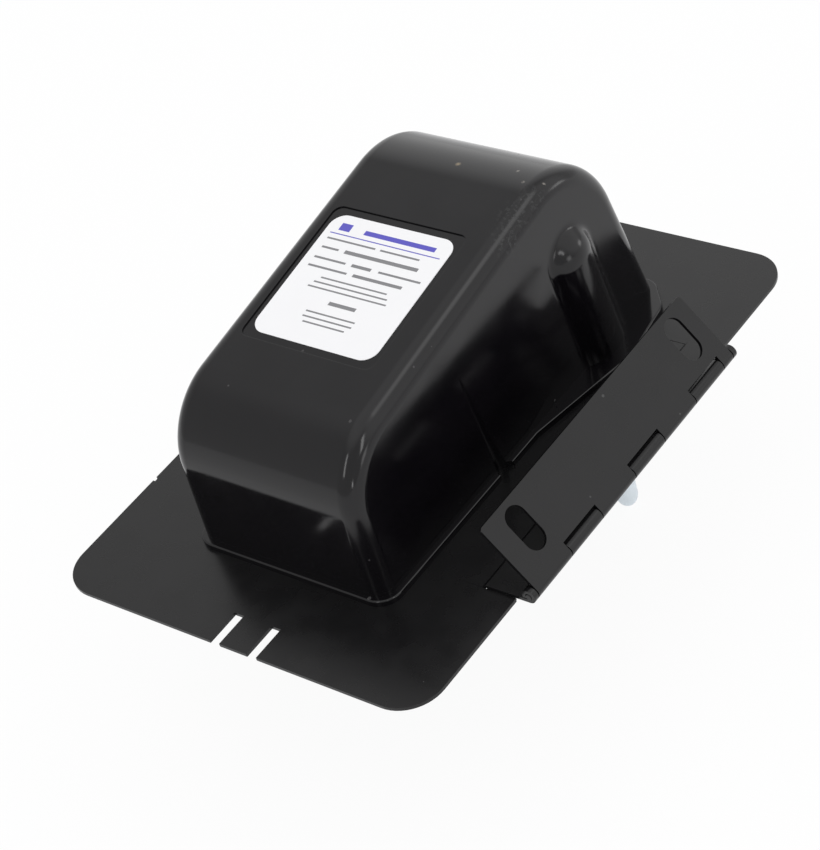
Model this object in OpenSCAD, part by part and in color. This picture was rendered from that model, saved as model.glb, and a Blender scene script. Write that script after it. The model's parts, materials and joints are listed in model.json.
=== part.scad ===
// Electronic ignition transformer for an oil burner: a moulded housing with a sloped top on
// a hinged sheet-steel plate. Origin: centre of the plate's underside. +Z up through the
// housing, +Y along the plate to the tall end, +X to the hinge.

/* [Mounting plate] */
// Width of the plate across the hinge
plate_w = 140; // [130:1:150]
// Length of the plate along the hinge
plate_l = 208; // [200:1:220]
// Sheet thickness of the plate
plate_t = 1.2; // [1:0.1:1.5]
// Corner radius of the plate
plate_r = 13; // [8:1:18]
// Width of the two open slots in the near edge
slot_w = 3.6; // [3:0.1:4.5]
// Depth of the open slots
slot_l = 12; // [8:0.5:16]
// Distance between the two open slots
slot_pitch = 14.2; // [10:0.1:20]
// How far the pair of slots sits off the middle line
slot_offset = 2.3; // [0:0.1:5]
// Width of the witness notch in the left edge
edge_notch_w = 1.6; // [1:0.1:3]

/* [Hinge] */
// Distance from the plate's edge out to the hinge axis
hinge_out = 4.9; // [4:0.1:7]
// Diameter of the hinge pin
pin_d = 2.2; // [1.8:0.1:3]
// Running gap around the pin
pin_gap = 0.05; // [0.03:0.01:0.1]
// Height of the step that lifts the hinge strip off the plate
strip_step = 1.2; // [0.8:0.1:2]
// Distance from the plate's edge in to the bend of the hinge strip
bend_in = 12; // [8:0.5:16]
// Length of the relief slits beside the hinge strip
slit_l = 20.5; // [16:0.5:24]
// Width of the relief slits
slit_w = 1; // [0.8:0.1:1.5]
// Length of the short end knuckles on the plate
end_knuckle_l = 1.8; // [1.5:0.1:3]
// Sideways gap between the knuckles
knuckle_gap = 0.35; // [0.3:0.05:0.6]

/* [Hinge leaf] */
// Length of the leaf along the hinge
leaf_l = 107.9; // [107.5:0.1:110]
// Width of the leaf from the pin barrel to its free edge
leaf_h = 23.8; // [21:0.1:26]
// Sheet thickness of the leaf
leaf_t = 1.2; // [1:0.1:1.5]
// Near end of the leaf
leaf_y0 = -52.4; // [-54:0.1:-51]
// Lean of the leaf above the plate, as it stands
leaf_lean = 51; // [40:1:80]
// Length of the windows for the plate's knuckles
window_l = 16.7; // [14:0.1:17]
// Distance from one window to the next
window_pitch = 34.4; // [33:0.1:34.6]
// Distance from the leaf's near end to its first window
window_start = 17.3; // [16:0.1:18]
// Height of the windows above the pin barrel
window_h = 2.8; // [2.7:0.1:4]
// Width of the two screw slots
leaf_slot_w = 7.8; // [6.5:0.1:9]
// Length of the two screw slots, across the leaf
leaf_slot_l = 15.3; // [12:0.1:16]
// Distance between the two screw slots
leaf_slot_pitch = 86.4; // [84:0.1:88]
// Distance from the leaf's near end to the first slot
leaf_slot_start = 11.6; // [10:0.1:13]
// Height of the slots' middle above the pin barrel
leaf_slot_h = 14; // [13:0.1:14.5]

/* [Housing] */
// Width of the housing at its foot
house_w = 72; // [70:0.5:74]
// Width of the housing across its top
house_top_w = 69; // [67:0.5:70]
// Near wall at the foot
house_y0 = -74; // [-75:0.5:-73]
// Far wall at the foot
house_y1 = 77.7; // [77:0.1:79]
// Corner radius of the foot
foot_r = 8; // [7:0.5:9]
// Wall thickness
wall = 2.5; // [2:0.1:2.8]
// Rounding of the long top edges
edge_r = 6; // [5.5:0.1:7]
// Radius of the near shoulder
shoulder_r = 25.5; // [24:0.1:26.5]
// Place of the near shoulder's centre along the housing
shoulder_y = -46.2; // [-46.5:0.1:-45]
// Height of the near shoulder's centre
shoulder_z = 32; // [31.5:0.1:34]
// Radius of the far crown
crown_r = 30.7; // [29:0.1:31.5]
// Place of the far crown's centre along the housing
crown_y = 39.5; // [38.5:0.1:40.5]
// Height of the far crown's centre
crown_z = 39.6; // [38.5:0.1:41]
// How far the foot flange stands out
flange_out = 2; // [1.5:0.1:3]
// Thickness of the foot flange
flange_t = 2; // [1.5:0.1:2.5]
// Radius of the domed pillars in the side walls
pillar_r = 12; // [11.5:0.1:12.5]
// How much wider the pillars are at the foot
pillar_draft = 0.7; // [0:0.1:1]
// Height of the pillars' dome centre
pillar_z = 41; // [36:0.5:43]
// Radius of the widened flange round the pillars
ear_r = 17; // [16:0.1:18]
// Place where the flange starts to widen
ear_y0 = 5; // [0:1:12]
// Length of the label recess along the slope
recess_l = 54; // [50:0.5:58]
// Width of the label recess
recess_w = 50; // [48:0.5:54]
// Depth of the label recess
recess_d = 0.5; // [0.3:0.1:0.8]
// Sideways place of the label
label_x = -2.2; // [-3:0.1:3]
// Place of the label along the housing
label_y = -11; // [-13:0.5:-9]
// Height of the flute in each side wall
flute_h = 41; // [34:1:43]
// Depth of the flute at the foot
flute_d = 1.2; // [0.8:0.1:1.5]
// Radius of the flute at the foot
flute_r = 5; // [4:0.5:6]
// Place of the flute's foot along the housing
flute_y = -10; // [-13:0.5:-7]

/* [Label] */
// Length of the label along the slope
label_l = 48.6; // [44:0.1:49]
// Width of the label
label_w = 46.2; // [42:0.1:47]
// Corner radius of the label
label_r = 5; // [3:0.5:7]
// Thickness of the label
label_t = 0.2; // [0.1:0.05:0.3]

/* [Terminals] */
// Sideways place of each high-voltage terminal
term_x = 29; // [28.5:0.1:29.5]
// Place of the terminals along the housing
term_y = 46.5; // [46:0.1:48]
// Length of the porcelain below the plate
bush_below = 50; // [40:1:55]
// Radius of the porcelain at the plate
bush_r = 7.6; // [7:0.1:7.9]
// Radius of the porcelain at its lower end
bush_tip_r = 6; // [5.5:0.1:7]
// Radius of the porcelain inside the housing
bush_top_r = 6; // [5:0.1:7]
// Height of the porcelain's upper end
bush_top_z = 22; // [18:0.5:22]
// Diameter of the terminal studs
stud_d = 4; // [3.5:0.1:4.2]
// Diameter of the domed contact caps
cap_d = 10; // [9:0.1:11]
// Length of the straight part of the caps
cap_l = 9; // [7:0.5:12]
// Thickness of the hexagon nuts
nut_t = 3.2; // [2.5:0.1:3.5]
// Width across the corners of the hexagon nuts
nut_d = 8.1; // [7.5:0.1:9]

/* [Underside] */
// Thickness of the insulating base cover above the plate
cover_t = 3; // [2.5:0.1:4]
// Half width of the opening in the plate
open_half_w = 27; // [24:0.5:28]
// Near end of the opening
open_y0 = -56; // [-58:0.5:-53]
// Far end of the opening
open_y1 = 62; // [59:0.5:63]
// Corner radius of the opening
open_r = 6; // [4:0.5:8]
// Gap between parts that sit in one another
seat_gap = 0.3; // [0.2:0.05:0.4]
// Radius of the hole for the supply leads
lead_hole_r = 6; // [5:0.1:7]
// Place of the lead hole along the cover
lead_y = -43; // [-45:0.5:-38]
// Inside radius of the lead grommet
grommet_r = 3.6; // [3:0.1:4]
// Shank diameter of the housing screws
screw_d = 3.8; // [3.5:0.1:4]
// Length of the housing screws under the head
screw_l = 12; // [10:0.5:14]
// Diameter of the screw heads
screw_head_d = 8; // [7:0.1:8.5]
// Radius of the screw bosses
boss_r = 4.5; // [4.2:0.1:5]
// Height of the screw bosses above the plate
boss_h = 15; // [15:0.5:20]

/* [Circuit board] */
// Thickness of the board
board_t = 1.6; // [1.2:0.1:2]
// Width of the board
board_w = 56; // [54:0.5:58]
// Near end of the board
board_y0 = -62; // [-62:0.5:-60]
// Far end of the board
board_y1 = 8; // [7:0.5:9]
// Height of the posts that carry the board
post_h = 8; // [7:0.5:9]
// Diameter of the bulk capacitors
bulk_d = 22; // [18:0.5:22]
// Height of the bulk capacitors
bulk_h = 32; // [28:0.5:34]

/* [High-voltage transformer] */
// Place of the core along the housing
core_y = 26; // [25.5:0.1:26]
// Gap between the bobbins and the side walls
bobbin_side_gap = 1; // [0.8:0.1:2]
// Gap between the two bobbins
bobbin_apart = 3; // [2:0.1:4]
// Depth of the windings
winding_depth = 3; // [2:0.1:3.5]
// Thickness of the core yokes
yoke_t = 11; // [9:0.5:12]
// Height of the lower core face above the base cover
core_lift = 10; // [9.5:0.5:11]
// Height of the winding window
window_z = 26; // [24:0.5:27]
// Thickness of the spacers between the core halves
spacer_t = 0.4; // [0.3:0.1:0.6]
// How far the bobbin flanges stand out past the windings
flange_over = 1; // [0.6:0.1:1.5]
// Thickness of the bobbin flanges
bobbin_t = 1; // [0.8:0.1:1.2]
// Thinnest wall of the bobbin hub, at the corners of its square hole
hub_wall = 1.3; // [1:0.1:1.6]
// Number of high-voltage sections on each bobbin
sections = 5; // [3:1:6]
// Height of the primary section
primary_h = 5; // [4:0.5:6]
// Diameter of the insulated high-voltage leads
lead_d = 2; // [1.6:0.1:2.4]

/* [Hidden] */

$fn = 48;
// Segments round the rollers and round their edges: fine outside, coarse for the cast filling
fine = [96, 40];
coarse = [48, 12];
// Overlap that makes a cut run clean through
past = 1;

// Hinge
bore_r = pin_d / 2 + pin_gap;
plate_barrel_r = bore_r + plate_t;
leaf_barrel_r = bore_r + leaf_t;
barrel_r = max(plate_barrel_r, leaf_barrel_r);
axis_x = plate_w / 2 + hinge_out;
axis_z = strip_step + plate_barrel_r;
seam = 0.35;
barrel_clear = 0.4;
bend_x = plate_w / 2 - bend_in;
ramp = 1.5;
leaf_y1 = leaf_y0 + leaf_l;
strip_y0 = leaf_y0 - knuckle_gap - end_knuckle_l;
strip_y1 = leaf_y1 + knuckle_gap + end_knuckle_l;
windows = 3;
function window_y(i) = leaf_y0 + window_start + i * window_pitch;
leaf_corner_r = 1.2;

// Housing
house_z = plate_t;
shoulder = [shoulder_y, shoulder_z];
crown = [crown_y, crown_z];
spine = crown - shoulder;
top_tilt = atan2(spine[1], spine[0]) + asin((crown_r - shoulder_r) / norm(spine));
top_normal = [-sin(top_tilt), cos(top_tilt)];
top_level = shoulder * top_normal + shoulder_r;
function top_z(y) = (top_level - top_normal[0] * y) / top_normal[1];
cavity_half = house_w / 2 - wall;
cavity_y0 = house_y0 + wall;
cavity_y1 = house_y1 - wall;
pillar_in_r = pillar_r - wall;
boss_x = cavity_half - boss_r + 0.5;
boss_y = [cavity_y0 + boss_r - 0.5, cavity_y1 - boss_r + 0.5];
pilot_r = screw_d / 2 + 0.1;
screw_head_h = 2.2;
recess_arm = 2.2;
recess_r = 3;
flute_slant = 7;
flute_tip_r = 0.4;

// Base cover and terminals
cover_z = plate_t + cover_t;
bush_flange_r = pillar_in_r - seat_gap;
bush_flange_t = 4;
bush_hole_r = bush_r + seat_gap / 2;
ring = 1.8;
stud_r = stud_d / 2;
thread_gap = 0.05;
nut_low_z = -bush_below - nut_t;
cap_top_z = nut_low_z - 0.3;
cap_dome_z = cap_top_z - cap_l;
stud_low_z = cap_dome_z + 1;
stud_top_z = bush_top_z + nut_t + 2;
shed_in = 0.4;
shed_r = 3.2;
grommet_lip = 2;
grommet_lip_t = 1.5;

// Board
board_z = cover_z + post_h;
board_top = board_z + board_t;
post_r = 2.5;
post_in = 4;
pip_r = 1.2;
pot_gap = 0.2;
leg_lift = 2;
base_t = 2;
pin_gauge = 0.8;
strap_w = 7;
strap_t = 0.6;
strap_y = board_y0 - 0.8;
strap_foot = 7;
rivet_r = 1.6;
rivet_gap = 0.05;
rivet_head_r = 2.8;
rivet_head_t = 0.8;
rivet_y = strap_y - strap_foot / 2;

// Components: bodies are [x, y] places with [x, y, z] sizes, all standing on the board
bulk_at = [[-15, -48], [-15, -24]];
filter_at = [9, -40];
filter_size = [24, 11, 18];
resonant_at = [2, 2];
resonant_size = [22, 9, 16];
bridge_at = [8, -50.5];
bridge_size = [20, 4, 15];
resistor_at = [-21, -2];
resistor_size = [7, 18, 7];
sink_x = 20;
sink_t = 2;
sink_y = [-32, 4];
sink_h = 30;
sink_foot = 7.5;
fet_y = [-24, -6];
fet_size = [4.5, 10, 15];
fet_lift = 7;
tab_t = 1.3;
tab_h = 6;
choke_at = [5.6, -24];
choke_r = 6.5;
choke_wire_r = 2.6;
drive_at = [6, -11];
drive_r = 4.2;
drive_wire_r = 1.8;
fuse_at = [15, -58.3];
fuse_l = 20;
fuse_r = 2.6;
varistor_at = [24, -47.5];
varistor_r = 6;
varistor_t = 4;

// Core and bobbins
core_z = cover_z + core_lift;
window_z0 = core_z + yoke_t;
window_z1 = window_z0 + window_z;
core_mid = (window_z0 + window_z1) / 2;
core_top = window_z1 + yoke_t;
leg_gap = 0.2;
bobbin_r = (house_top_w / 2 - wall - bobbin_side_gap - bobbin_apart) / 2;
leg_x = bobbin_r + bobbin_apart;
leg_pitch = 2 * leg_x;
coil_r = bobbin_r - flange_over;
hub_r = coil_r - winding_depth;
leg_w = 2 * ((hub_r - hub_wall) / sqrt(2) - leg_gap);
hv_h = (window_z - 2 * seat_gap - primary_h - (sections + 2) * bobbin_t) / sections;
coil_gap = 0.05;
lead_start_r = bobbin_r + lead_d / 2 + 0.2;
lead_z = window_z1 - 4;
cradle_w = 8;
cradle_x = 12;

// Extrudes a profile drawn in X and Z along the housing, from y0 to y1
module along_y(y0, y1) {
    translate([0, y1, 0]) rotate([90, 0, 0]) linear_extrude(y1 - y0) children();
}

// Puts children on both sides of the middle plane
module both_sides() {
    children();
    mirror([1, 0, 0]) children();
}

// Rectangle with round corners, symmetric in X
module round_rect(half, y0, y1, r) {
    translate([-half + r, y0]) square([2 * (half - r), y1 - y0]);
    translate([-half, y0 + r]) square([2 * half, y1 - y0 - 2 * r]);
    for (x = [-half + r, half - r], y = [y0 + r, y1 - r]) translate([x, y]) circle(r);
}

// Obround of a given length along Y
module obround(w, l) {
    translate([-w / 2, -l / 2 + w / 2]) square([w, l - w]);
    for (s = [-1, 1]) translate([0, s * (l - w) / 2]) circle(d = w);
}

// Touching point of the line from p to a circle at c; turn is 1 or -1 for its two sides
function tangent(p, c, r, turn) =
    let (v = p - c, a = atan2(v[1], v[0]) + turn * acos(r / norm(v)))
    c + r * [cos(a), sin(a)];

// Leaf curl: a ring round the pin, with the seam where the curl comes back to the sheet
module leaf_curl() {
    difference() {
        circle(leaf_barrel_r);
        circle(bore_r);
        translate([bore_r - seam, bore_r / 2]) square([seam, leaf_barrel_r]);
    }
}

// Knuckle of the plate: the strip runs in from -X under the pin
module plate_knuckle() {
    difference() {
        circle(plate_barrel_r);
        circle(bore_r);
        translate([-plate_barrel_r - past, -bore_r]) square([plate_barrel_r + past - bore_r / 2, seam]);
    }
    translate([-hinge_out, -plate_barrel_r]) square([hinge_out, plate_t]);
}

module strip_profile(end_x) {
    polygon([[bend_x - past, 0], [bend_x, 0], [bend_x + ramp, strip_step], [end_x, strip_step],
        [end_x, strip_step + plate_t], [bend_x + ramp, strip_step + plate_t],
        [bend_x, plate_t], [bend_x - past, plate_t]]);
}

module plate_outline() {
    difference() {
        round_rect(plate_w / 2, -plate_l / 2, plate_l / 2, plate_r);
        cover_opening(0);
        for (s = [-1, 1]) {
            translate([slot_offset + s * slot_pitch / 2 - slot_w / 2, -plate_l / 2 - past])
                square([slot_w, slot_l + past]);
        }
        translate([-plate_w / 2 - past, strip_y0 - slit_w - edge_notch_w / 2])
            square([past + edge_notch_w / 2, edge_notch_w]);
        for (y = [strip_y0 - slit_w, strip_y1])
            translate([plate_w / 2 - slit_l, y]) square([slit_l + past, slit_w]);
        translate([bend_x, strip_y0]) square([bend_in + past, strip_y1 - strip_y0]);
        for (x = [-boss_x, boss_x], y = boss_y) translate([x, y]) circle(pilot_r + 0.2);
        translate([0, rivet_y]) circle(rivet_r + rivet_gap);
    }
}

module mounting_plate() {
    color([0.16, 0.155, 0.16]) {
        linear_extrude(plate_t) plate_outline();
        along_y(strip_y0, strip_y1) strip_profile(axis_x - barrel_r - barrel_clear);
        for (i = [0 : windows - 1])
            plate_finger(window_y(i) + knuckle_gap, window_y(i) + window_l - knuckle_gap);
        plate_finger(strip_y0, leaf_y0 - knuckle_gap);
        plate_finger(leaf_y1 + knuckle_gap, strip_y1);
    }
}

module plate_finger(y0, y1) {
    along_y(y0, y1) {
        strip_profile(axis_x - hinge_out / 2);
        translate([axis_x, axis_z]) plate_knuckle();
    }
}

// Leaf: drawn upright on the hinge axis, then leaned over the plate
module leaf_sheet() {
    difference() {
        union() {
            translate([leaf_y0, window_h]) square([leaf_l, leaf_h - window_h - leaf_corner_r]);
            translate([leaf_y0 + leaf_corner_r, window_h])
                square([leaf_l - 2 * leaf_corner_r, leaf_h - window_h]);
            for (y = [leaf_y0 + leaf_corner_r, leaf_y1 - leaf_corner_r])
                translate([y, leaf_h - leaf_corner_r]) circle(leaf_corner_r);
        }
        for (i = [0, 1])
            translate([leaf_y0 + leaf_slot_start + i * leaf_slot_pitch, leaf_slot_h])
                obround(leaf_slot_w, leaf_slot_l);
    }
}

module leaf_knuckle(y0, y1) {
    along_y(y0, y1) {
        leaf_curl();
        translate([bore_r, 0]) square([leaf_t, window_h + leaf_t]);
    }
}

module hinge_leaf() {
    color([0.2, 0.2, 0.21])
    translate([axis_x, 0, axis_z]) rotate([0, leaf_lean - 90, 0]) {
        translate([bore_r, 0, 0]) rotate([90, 0, 90]) linear_extrude(leaf_t) leaf_sheet();
        leaf_knuckle(leaf_y0, window_y(0));
        for (i = [0 : windows - 2]) leaf_knuckle(window_y(i) + window_l, window_y(i + 1));
        leaf_knuckle(window_y(windows - 1) + window_l, leaf_y1);
    }
}

module hinge_pin() {
    color([0.55, 0.55, 0.57])
    translate([axis_x, 0, axis_z]) along_y(strip_y0 - 0.2, strip_y1 + 0.2) circle(pin_d / 2);
}

// Housing: round-edged roller whose rim makes a shoulder of the shell
module roller(at, r, half, edge, grain) {
    corner = [for (a = [0 : 360 / grain[1] : 90]) [r - edge + edge * cos(a), half - edge + edge * sin(a)]];
    low = [for (i = [len(corner) - 1 : -1 : 0]) [corner[i][0], -corner[i][1]]];
    translate([0, at[0], at[1]]) rotate([0, 90, 0])
        rotate_extrude($fn = grain[0]) polygon(concat([[0, -half]], low, corner, [[0, half]]));
}

// The whole moulded form, shrunk evenly by inset: two rollers and the foot, hulled
module shell_form(inset, grain = fine) {
    half = house_top_w / 2 - inset;
    hull() {
        roller(shoulder, shoulder_r - inset, half, edge_r - inset, grain);
        roller(crown, crown_r - inset, half, edge_r - inset, grain);
        translate([0, 0, house_z]) linear_extrude(flange_t)
            round_rect(house_w / 2 - inset, house_y0 + inset, house_y1 - inset, foot_r - inset);
    }
    both_sides() translate([term_x, term_y, house_z]) {
        cylinder(r1 = pillar_r + pillar_draft - inset, r2 = pillar_r - inset, h = pillar_z - house_z);
        translate([0, 0, pillar_z - house_z]) sphere(r = pillar_r - inset);
    }
}

// Flange outline: follows the foot and widens round the pillars
module flange_outline() {
    half = house_w / 2 + flange_out;
    ear = [term_x, term_y];
    p0 = [half, ear_y0];
    p1 = [half, house_y1 - foot_r];
    round_rect(half, house_y0 - flange_out, house_y1 + flange_out, foot_r + flange_out);
    for (s = [0, 1]) mirror([s, 0]) {
        translate(ear) circle(ear_r);
        polygon([[0, p0[1]], p0, tangent(p0, ear, ear_r, 1), tangent(p1, ear, ear_r, -1), p1, [0, p1[1]]]);
    }
}

// Thin slab on the sloped top, from the label's place outward
module on_slope(l, w, r, low, high) {
    translate([label_x, label_y, top_z(label_y)]) rotate([top_tilt, 0, 0])
        translate([0, 0, low]) linear_extrude(high - low) round_rect(w / 2, -l / 2, l / 2, r);
}

// Puts a cylinder or cone, drawn along Z from the origin, between two points
module between(p, q, r1, r2) {
    v = q - p;
    translate(p) rotate([0, acos(v[2] / norm(v)), atan2(v[1], v[0])]) cylinder(r1 = r1, r2 = r2, h = norm(v));
}

// Shallow tapered flute, which also notches the flange
module flute() {
    foot = [house_w / 2 + flute_r - flute_d, flute_y, house_z - past];
    tip = [(house_w + house_top_w) / 4, flute_y - flute_slant, house_z + flute_h];
    between(foot, tip, flute_r, flute_tip_r);
}

// Outline of the hollow at the foot, shrunk by gap
module cavity_outline(gap) {
    round_rect(cavity_half - gap, cavity_y0 + gap, cavity_y1 - gap, foot_r - wall - gap);
    for (s = [-1, 1]) translate([s * term_x, term_y]) circle(pillar_in_r - gap);
}

module at_bosses() {
    for (x = [-boss_x, boss_x], y = boss_y) translate([x, y, 0]) children();
}

// Hollow of the shell, less the screw bosses that stay solid in its corners
module cavity() {
    difference() {
        union() {
            shell_form(wall);
            translate([0, 0, house_z - past]) linear_extrude(past + flange_t) cavity_outline(0);
        }
        at_bosses() translate([0, 0, house_z - past]) cylinder(r = boss_r, h = boss_h + past);
    }
    at_bosses() translate([0, 0, house_z - past]) cylinder(r = pilot_r, h = screw_l + past);
}

module housing() {
    color([0.09, 0.09, 0.095])
    difference() {
        union() {
            shell_form(0);
            translate([0, 0, house_z]) linear_extrude(flange_t) flange_outline();
        }
        cavity();
        on_slope(recess_l, recess_w, recess_r, -recess_d, past);
        both_sides() flute();
    }
}

module label() {
    color([0.95, 0.95, 0.95])
    on_slope(label_l, label_w, label_r, -recess_d, label_t - recess_d);
}

// Underside: the opening in the plate is filled by a step of the base cover
module cover_opening(gap) {
    round_rect(open_half_w - gap, open_y0 + gap, open_y1 - gap, open_r - gap);
    for (s = [-1, 1]) translate([s * term_x, term_y]) circle(bush_hole_r + ring - gap);
}

module at_posts() {
    for (x = [-1, 1], y = [board_y0 + post_in, board_y1 - post_in])
        translate([x * (board_w / 2 - post_in), y, cover_z]) children();
}

module at_cradles() {
    for (s = [-1, 1]) translate([s * cradle_x, core_y, cover_z]) children();
}

module base_cover() {
    color([0.12, 0.12, 0.12])
    difference() {
        union() {
            linear_extrude(plate_t + past / 2) cover_opening(seat_gap);
            translate([0, 0, plate_t]) linear_extrude(cover_t) cavity_outline(seat_gap);
            at_posts() {
                cylinder(r = post_r, h = post_h);
                cylinder(r = pip_r, h = post_h + board_t);
            }
            at_cradles() translate([-cradle_w / 2, -leg_w / 2, -past]) cube([cradle_w, leg_w, core_lift + past]);
        }
        for (s = [-1, 1]) translate([s * term_x, term_y, -past]) cylinder(r = bush_hole_r, h = cover_z + 2 * past);
        translate([0, lead_y, -past]) cylinder(r = lead_hole_r, h = cover_z + 2 * past);
        at_bosses() translate([0, 0, -past]) cylinder(r = boss_r + seat_gap, h = cover_z + 2 * past);
        translate([-strap_w / 2 - seat_gap, cavity_y0 - past, -past])
            cube([strap_w + 2 * seat_gap, strap_y - cavity_y0 + past + seat_gap, cover_z + 2 * past]);
    }
}

module housing_screws() {
    color([0.6, 0.6, 0.62])
    at_bosses() {
        cylinder(r = screw_d / 2, h = screw_l);
        difference() {
            translate([0, 0, -screw_head_h]) cylinder(d = screw_head_d, h = screw_head_h);
            for (a = [0, 90]) rotate(a) translate([-recess_arm, -recess_arm / 4, -screw_head_h - past])
                cube([2 * recess_arm, recess_arm / 2, past + screw_head_h / 2]);
        }
    }
}

module lead_grommet() {
    color([0.08, 0.08, 0.08])
    translate([0, lead_y, 0]) difference() {
        union() {
            translate([0, 0, -grommet_lip_t]) cylinder(r = lead_hole_r + grommet_lip, h = grommet_lip_t);
            translate([0, 0, -grommet_lip_t]) cylinder(r = lead_hole_r - seat_gap / 2, h = cover_z + 2 * grommet_lip_t);
            translate([0, 0, cover_z]) cylinder(r = lead_hole_r + grommet_lip, h = grommet_lip_t);
        }
        translate([0, 0, -grommet_lip_t - past]) cylinder(r = grommet_r, h = cover_z + 2 * grommet_lip_t + 2 * past);
    }
}

// Puts children on a terminal axis; side is -1 for the left one and 1 for the right one
module at_terminal(side) {
    translate([side * term_x, term_y, 0]) children();
}

// Porcelain bushing: flange on the base cover, cone with two rain sheds below the plate
module bushing(side) {
    color([0.93, 0.93, 0.9])
    at_terminal(side) rotate_extrude() difference() {
        union() {
            polygon([[0, cover_z], [bush_flange_r, cover_z], [bush_flange_r, cover_z + bush_flange_t],
                [bush_top_r, cover_z + bush_flange_t], [bush_top_r, bush_top_z], [0, bush_top_z]]);
            polygon([[0, -bush_below], [bush_tip_r, -bush_below], [bush_r, 0], [bush_r, cover_z + past],
                [0, cover_z + past]]);
            for (z = [-bush_below / 3, -2 * bush_below / 3]) intersection() {
                translate([bush_tip_r + shed_in, z]) circle(shed_r);
                translate([0, z - shed_r]) square([2 * bush_r, 2 * shed_r]);
            }
        }
        translate([-past, -bush_below - past]) square([stud_r + seat_gap / 2 + past, 2 * (bush_below + bush_top_z)]);
    }
}

module bushing_left() { bushing(-1); }
module bushing_right() { bushing(1); }

module stud(side) {
    color([0.75, 0.68, 0.45])
    at_terminal(side) translate([0, 0, stud_low_z]) cylinder(r = stud_r, h = stud_top_z - stud_low_z);
}

module stud_left() { stud(-1); }
module stud_right() { stud(1); }

// Hexagon nuts above and below each bushing
module terminal_nuts() {
    color([0.7, 0.72, 0.75])
    for (s = [-1, 1], z = [nut_low_z, bush_top_z]) at_terminal(s) translate([0, 0, z]) difference() {
        cylinder(d = nut_d, h = nut_t, $fn = 6);
        translate([0, 0, -past]) cylinder(r = stud_r + thread_gap, h = nut_t + 2 * past);
    }
}

// Domed cap that touches the burner's electrode bar
module contact_cap(side) {
    color([0.8, 0.85, 0.89])
    at_terminal(side) difference() {
        union() {
            translate([0, 0, cap_dome_z]) cylinder(d = cap_d, h = cap_l);
            translate([0, 0, cap_dome_z]) sphere(d = cap_d);
        }
        translate([0, 0, stud_low_z - past / 2]) cylinder(r = stud_r + thread_gap, h = cap_l + past);
    }
}

module contact_cap_left() { contact_cap(-1); }
module contact_cap_right() { contact_cap(1); }

// Electronics. A block stands on the board, centred at a place; grow widens it for its pocket
module block(at, size, grow = 0, lift = 0) {
    translate([at[0] - size[0] / 2 - grow, at[1] - size[1] / 2 - grow, board_top + lift - grow])
        cube([size[0] + 2 * grow, size[1] + 2 * grow, size[2] + 2 * grow]);
}

module board_pins(at, spread, lift) {
    for (d = spread) translate([at[0] + d[0], at[1] + d[1], board_top]) cylinder(d = pin_gauge, h = lift + 0.5);
}

module board_shape(grow) {
    translate([-board_w / 2 - grow, board_y0 - grow, board_z - grow])
        cube([board_w + 2 * grow, board_y1 - board_y0 + 2 * grow, board_t + 2 * grow]);
}

module circuit_board() {
    color([0.1, 0.4, 0.2])
    difference() {
        board_shape(0);
        at_posts() cylinder(r = pip_r + seat_gap / 2, h = post_h + board_t + past);
    }
}

module bulk_capacitors() {
    color([0.1, 0.12, 0.3])
    for (at = bulk_at) translate([at[0], at[1], board_top]) difference() {
        cylinder(d = bulk_d, h = bulk_h);
        translate([0, 0, bulk_h - 4]) rotate_extrude() translate([bulk_d / 2, 0]) circle(0.8);
    }
}

module filter_capacitor() { color([0.85, 0.75, 0.2]) block(filter_at, filter_size); }
module resonant_capacitor() { color([0.75, 0.2, 0.15]) block(resonant_at, resonant_size); }
module power_resistor() { color([0.9, 0.88, 0.82]) block(resistor_at, resistor_size); }

module bridge_rectifier() {
    color([0.12, 0.12, 0.13]) {
        block(bridge_at, bridge_size, lift = leg_lift);
        board_pins(bridge_at, [for (i = [-1.5 : 1.5]) [i * 5, 0]], leg_lift);
    }
}

module heat_sink() {
    color([0.78, 0.79, 0.8])
    translate([sink_x, 0, board_top]) {
        translate([0, sink_y[0], 0]) cube([sink_t, sink_y[1] - sink_y[0], sink_h]);
        translate([0, sink_y[0], 0]) cube([sink_foot, sink_y[1] - sink_y[0], sink_t]);
    }
}

module power_transistors() {
    color([0.15, 0.15, 0.16])
    for (y = fet_y) {
        at = [sink_x - fet_size[0] / 2, y];
        block(at, fet_size, lift = fet_lift);
        translate([sink_x - tab_t, y - fet_size[1] / 2, board_top + fet_lift])
            cube([tab_t, fet_size[1], fet_size[2] + tab_h]);
        board_pins(at, [for (i = [-1 : 1]) [0, i * 2.5]], fet_lift);
    }
}

// Wound ring: axis along Y when it stands, along Z when it lies
module wound_ring(r, wire_r) {
    rotate_extrude() translate([r, 0]) circle(wire_r);
}

module line_choke() {
    color([0.72, 0.45, 0.2]) {
        translate([choke_at[0], choke_at[1], board_top + base_t + choke_r + choke_wire_r - 0.5])
            rotate([90, 0, 0]) wound_ring(choke_r, choke_wire_r);
        block(choke_at, [choke_r * 2, choke_wire_r * 2.4, base_t]);
    }
}

module drive_toroid() {
    color([0.35, 0.5, 0.35])
    translate([drive_at[0], drive_at[1], board_top]) {
        cylinder(r = drive_r + drive_wire_r, h = base_t / 2);
        translate([0, 0, base_t / 2 + drive_wire_r - 0.3]) wound_ring(drive_r, drive_wire_r);
    }
}

module fuse() {
    color([0.85, 0.85, 0.88]) {
        translate([fuse_at[0] - fuse_l / 2, fuse_at[1], board_top + fuse_r + 1])
            rotate([0, 90, 0]) cylinder(r = fuse_r, h = fuse_l);
        for (s = [-1, 1]) block([fuse_at[0] + s * (fuse_l / 2 - 2.5), fuse_at[1]], [3, 2 * fuse_r + 1, fuse_r + 1]);
    }
}

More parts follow.
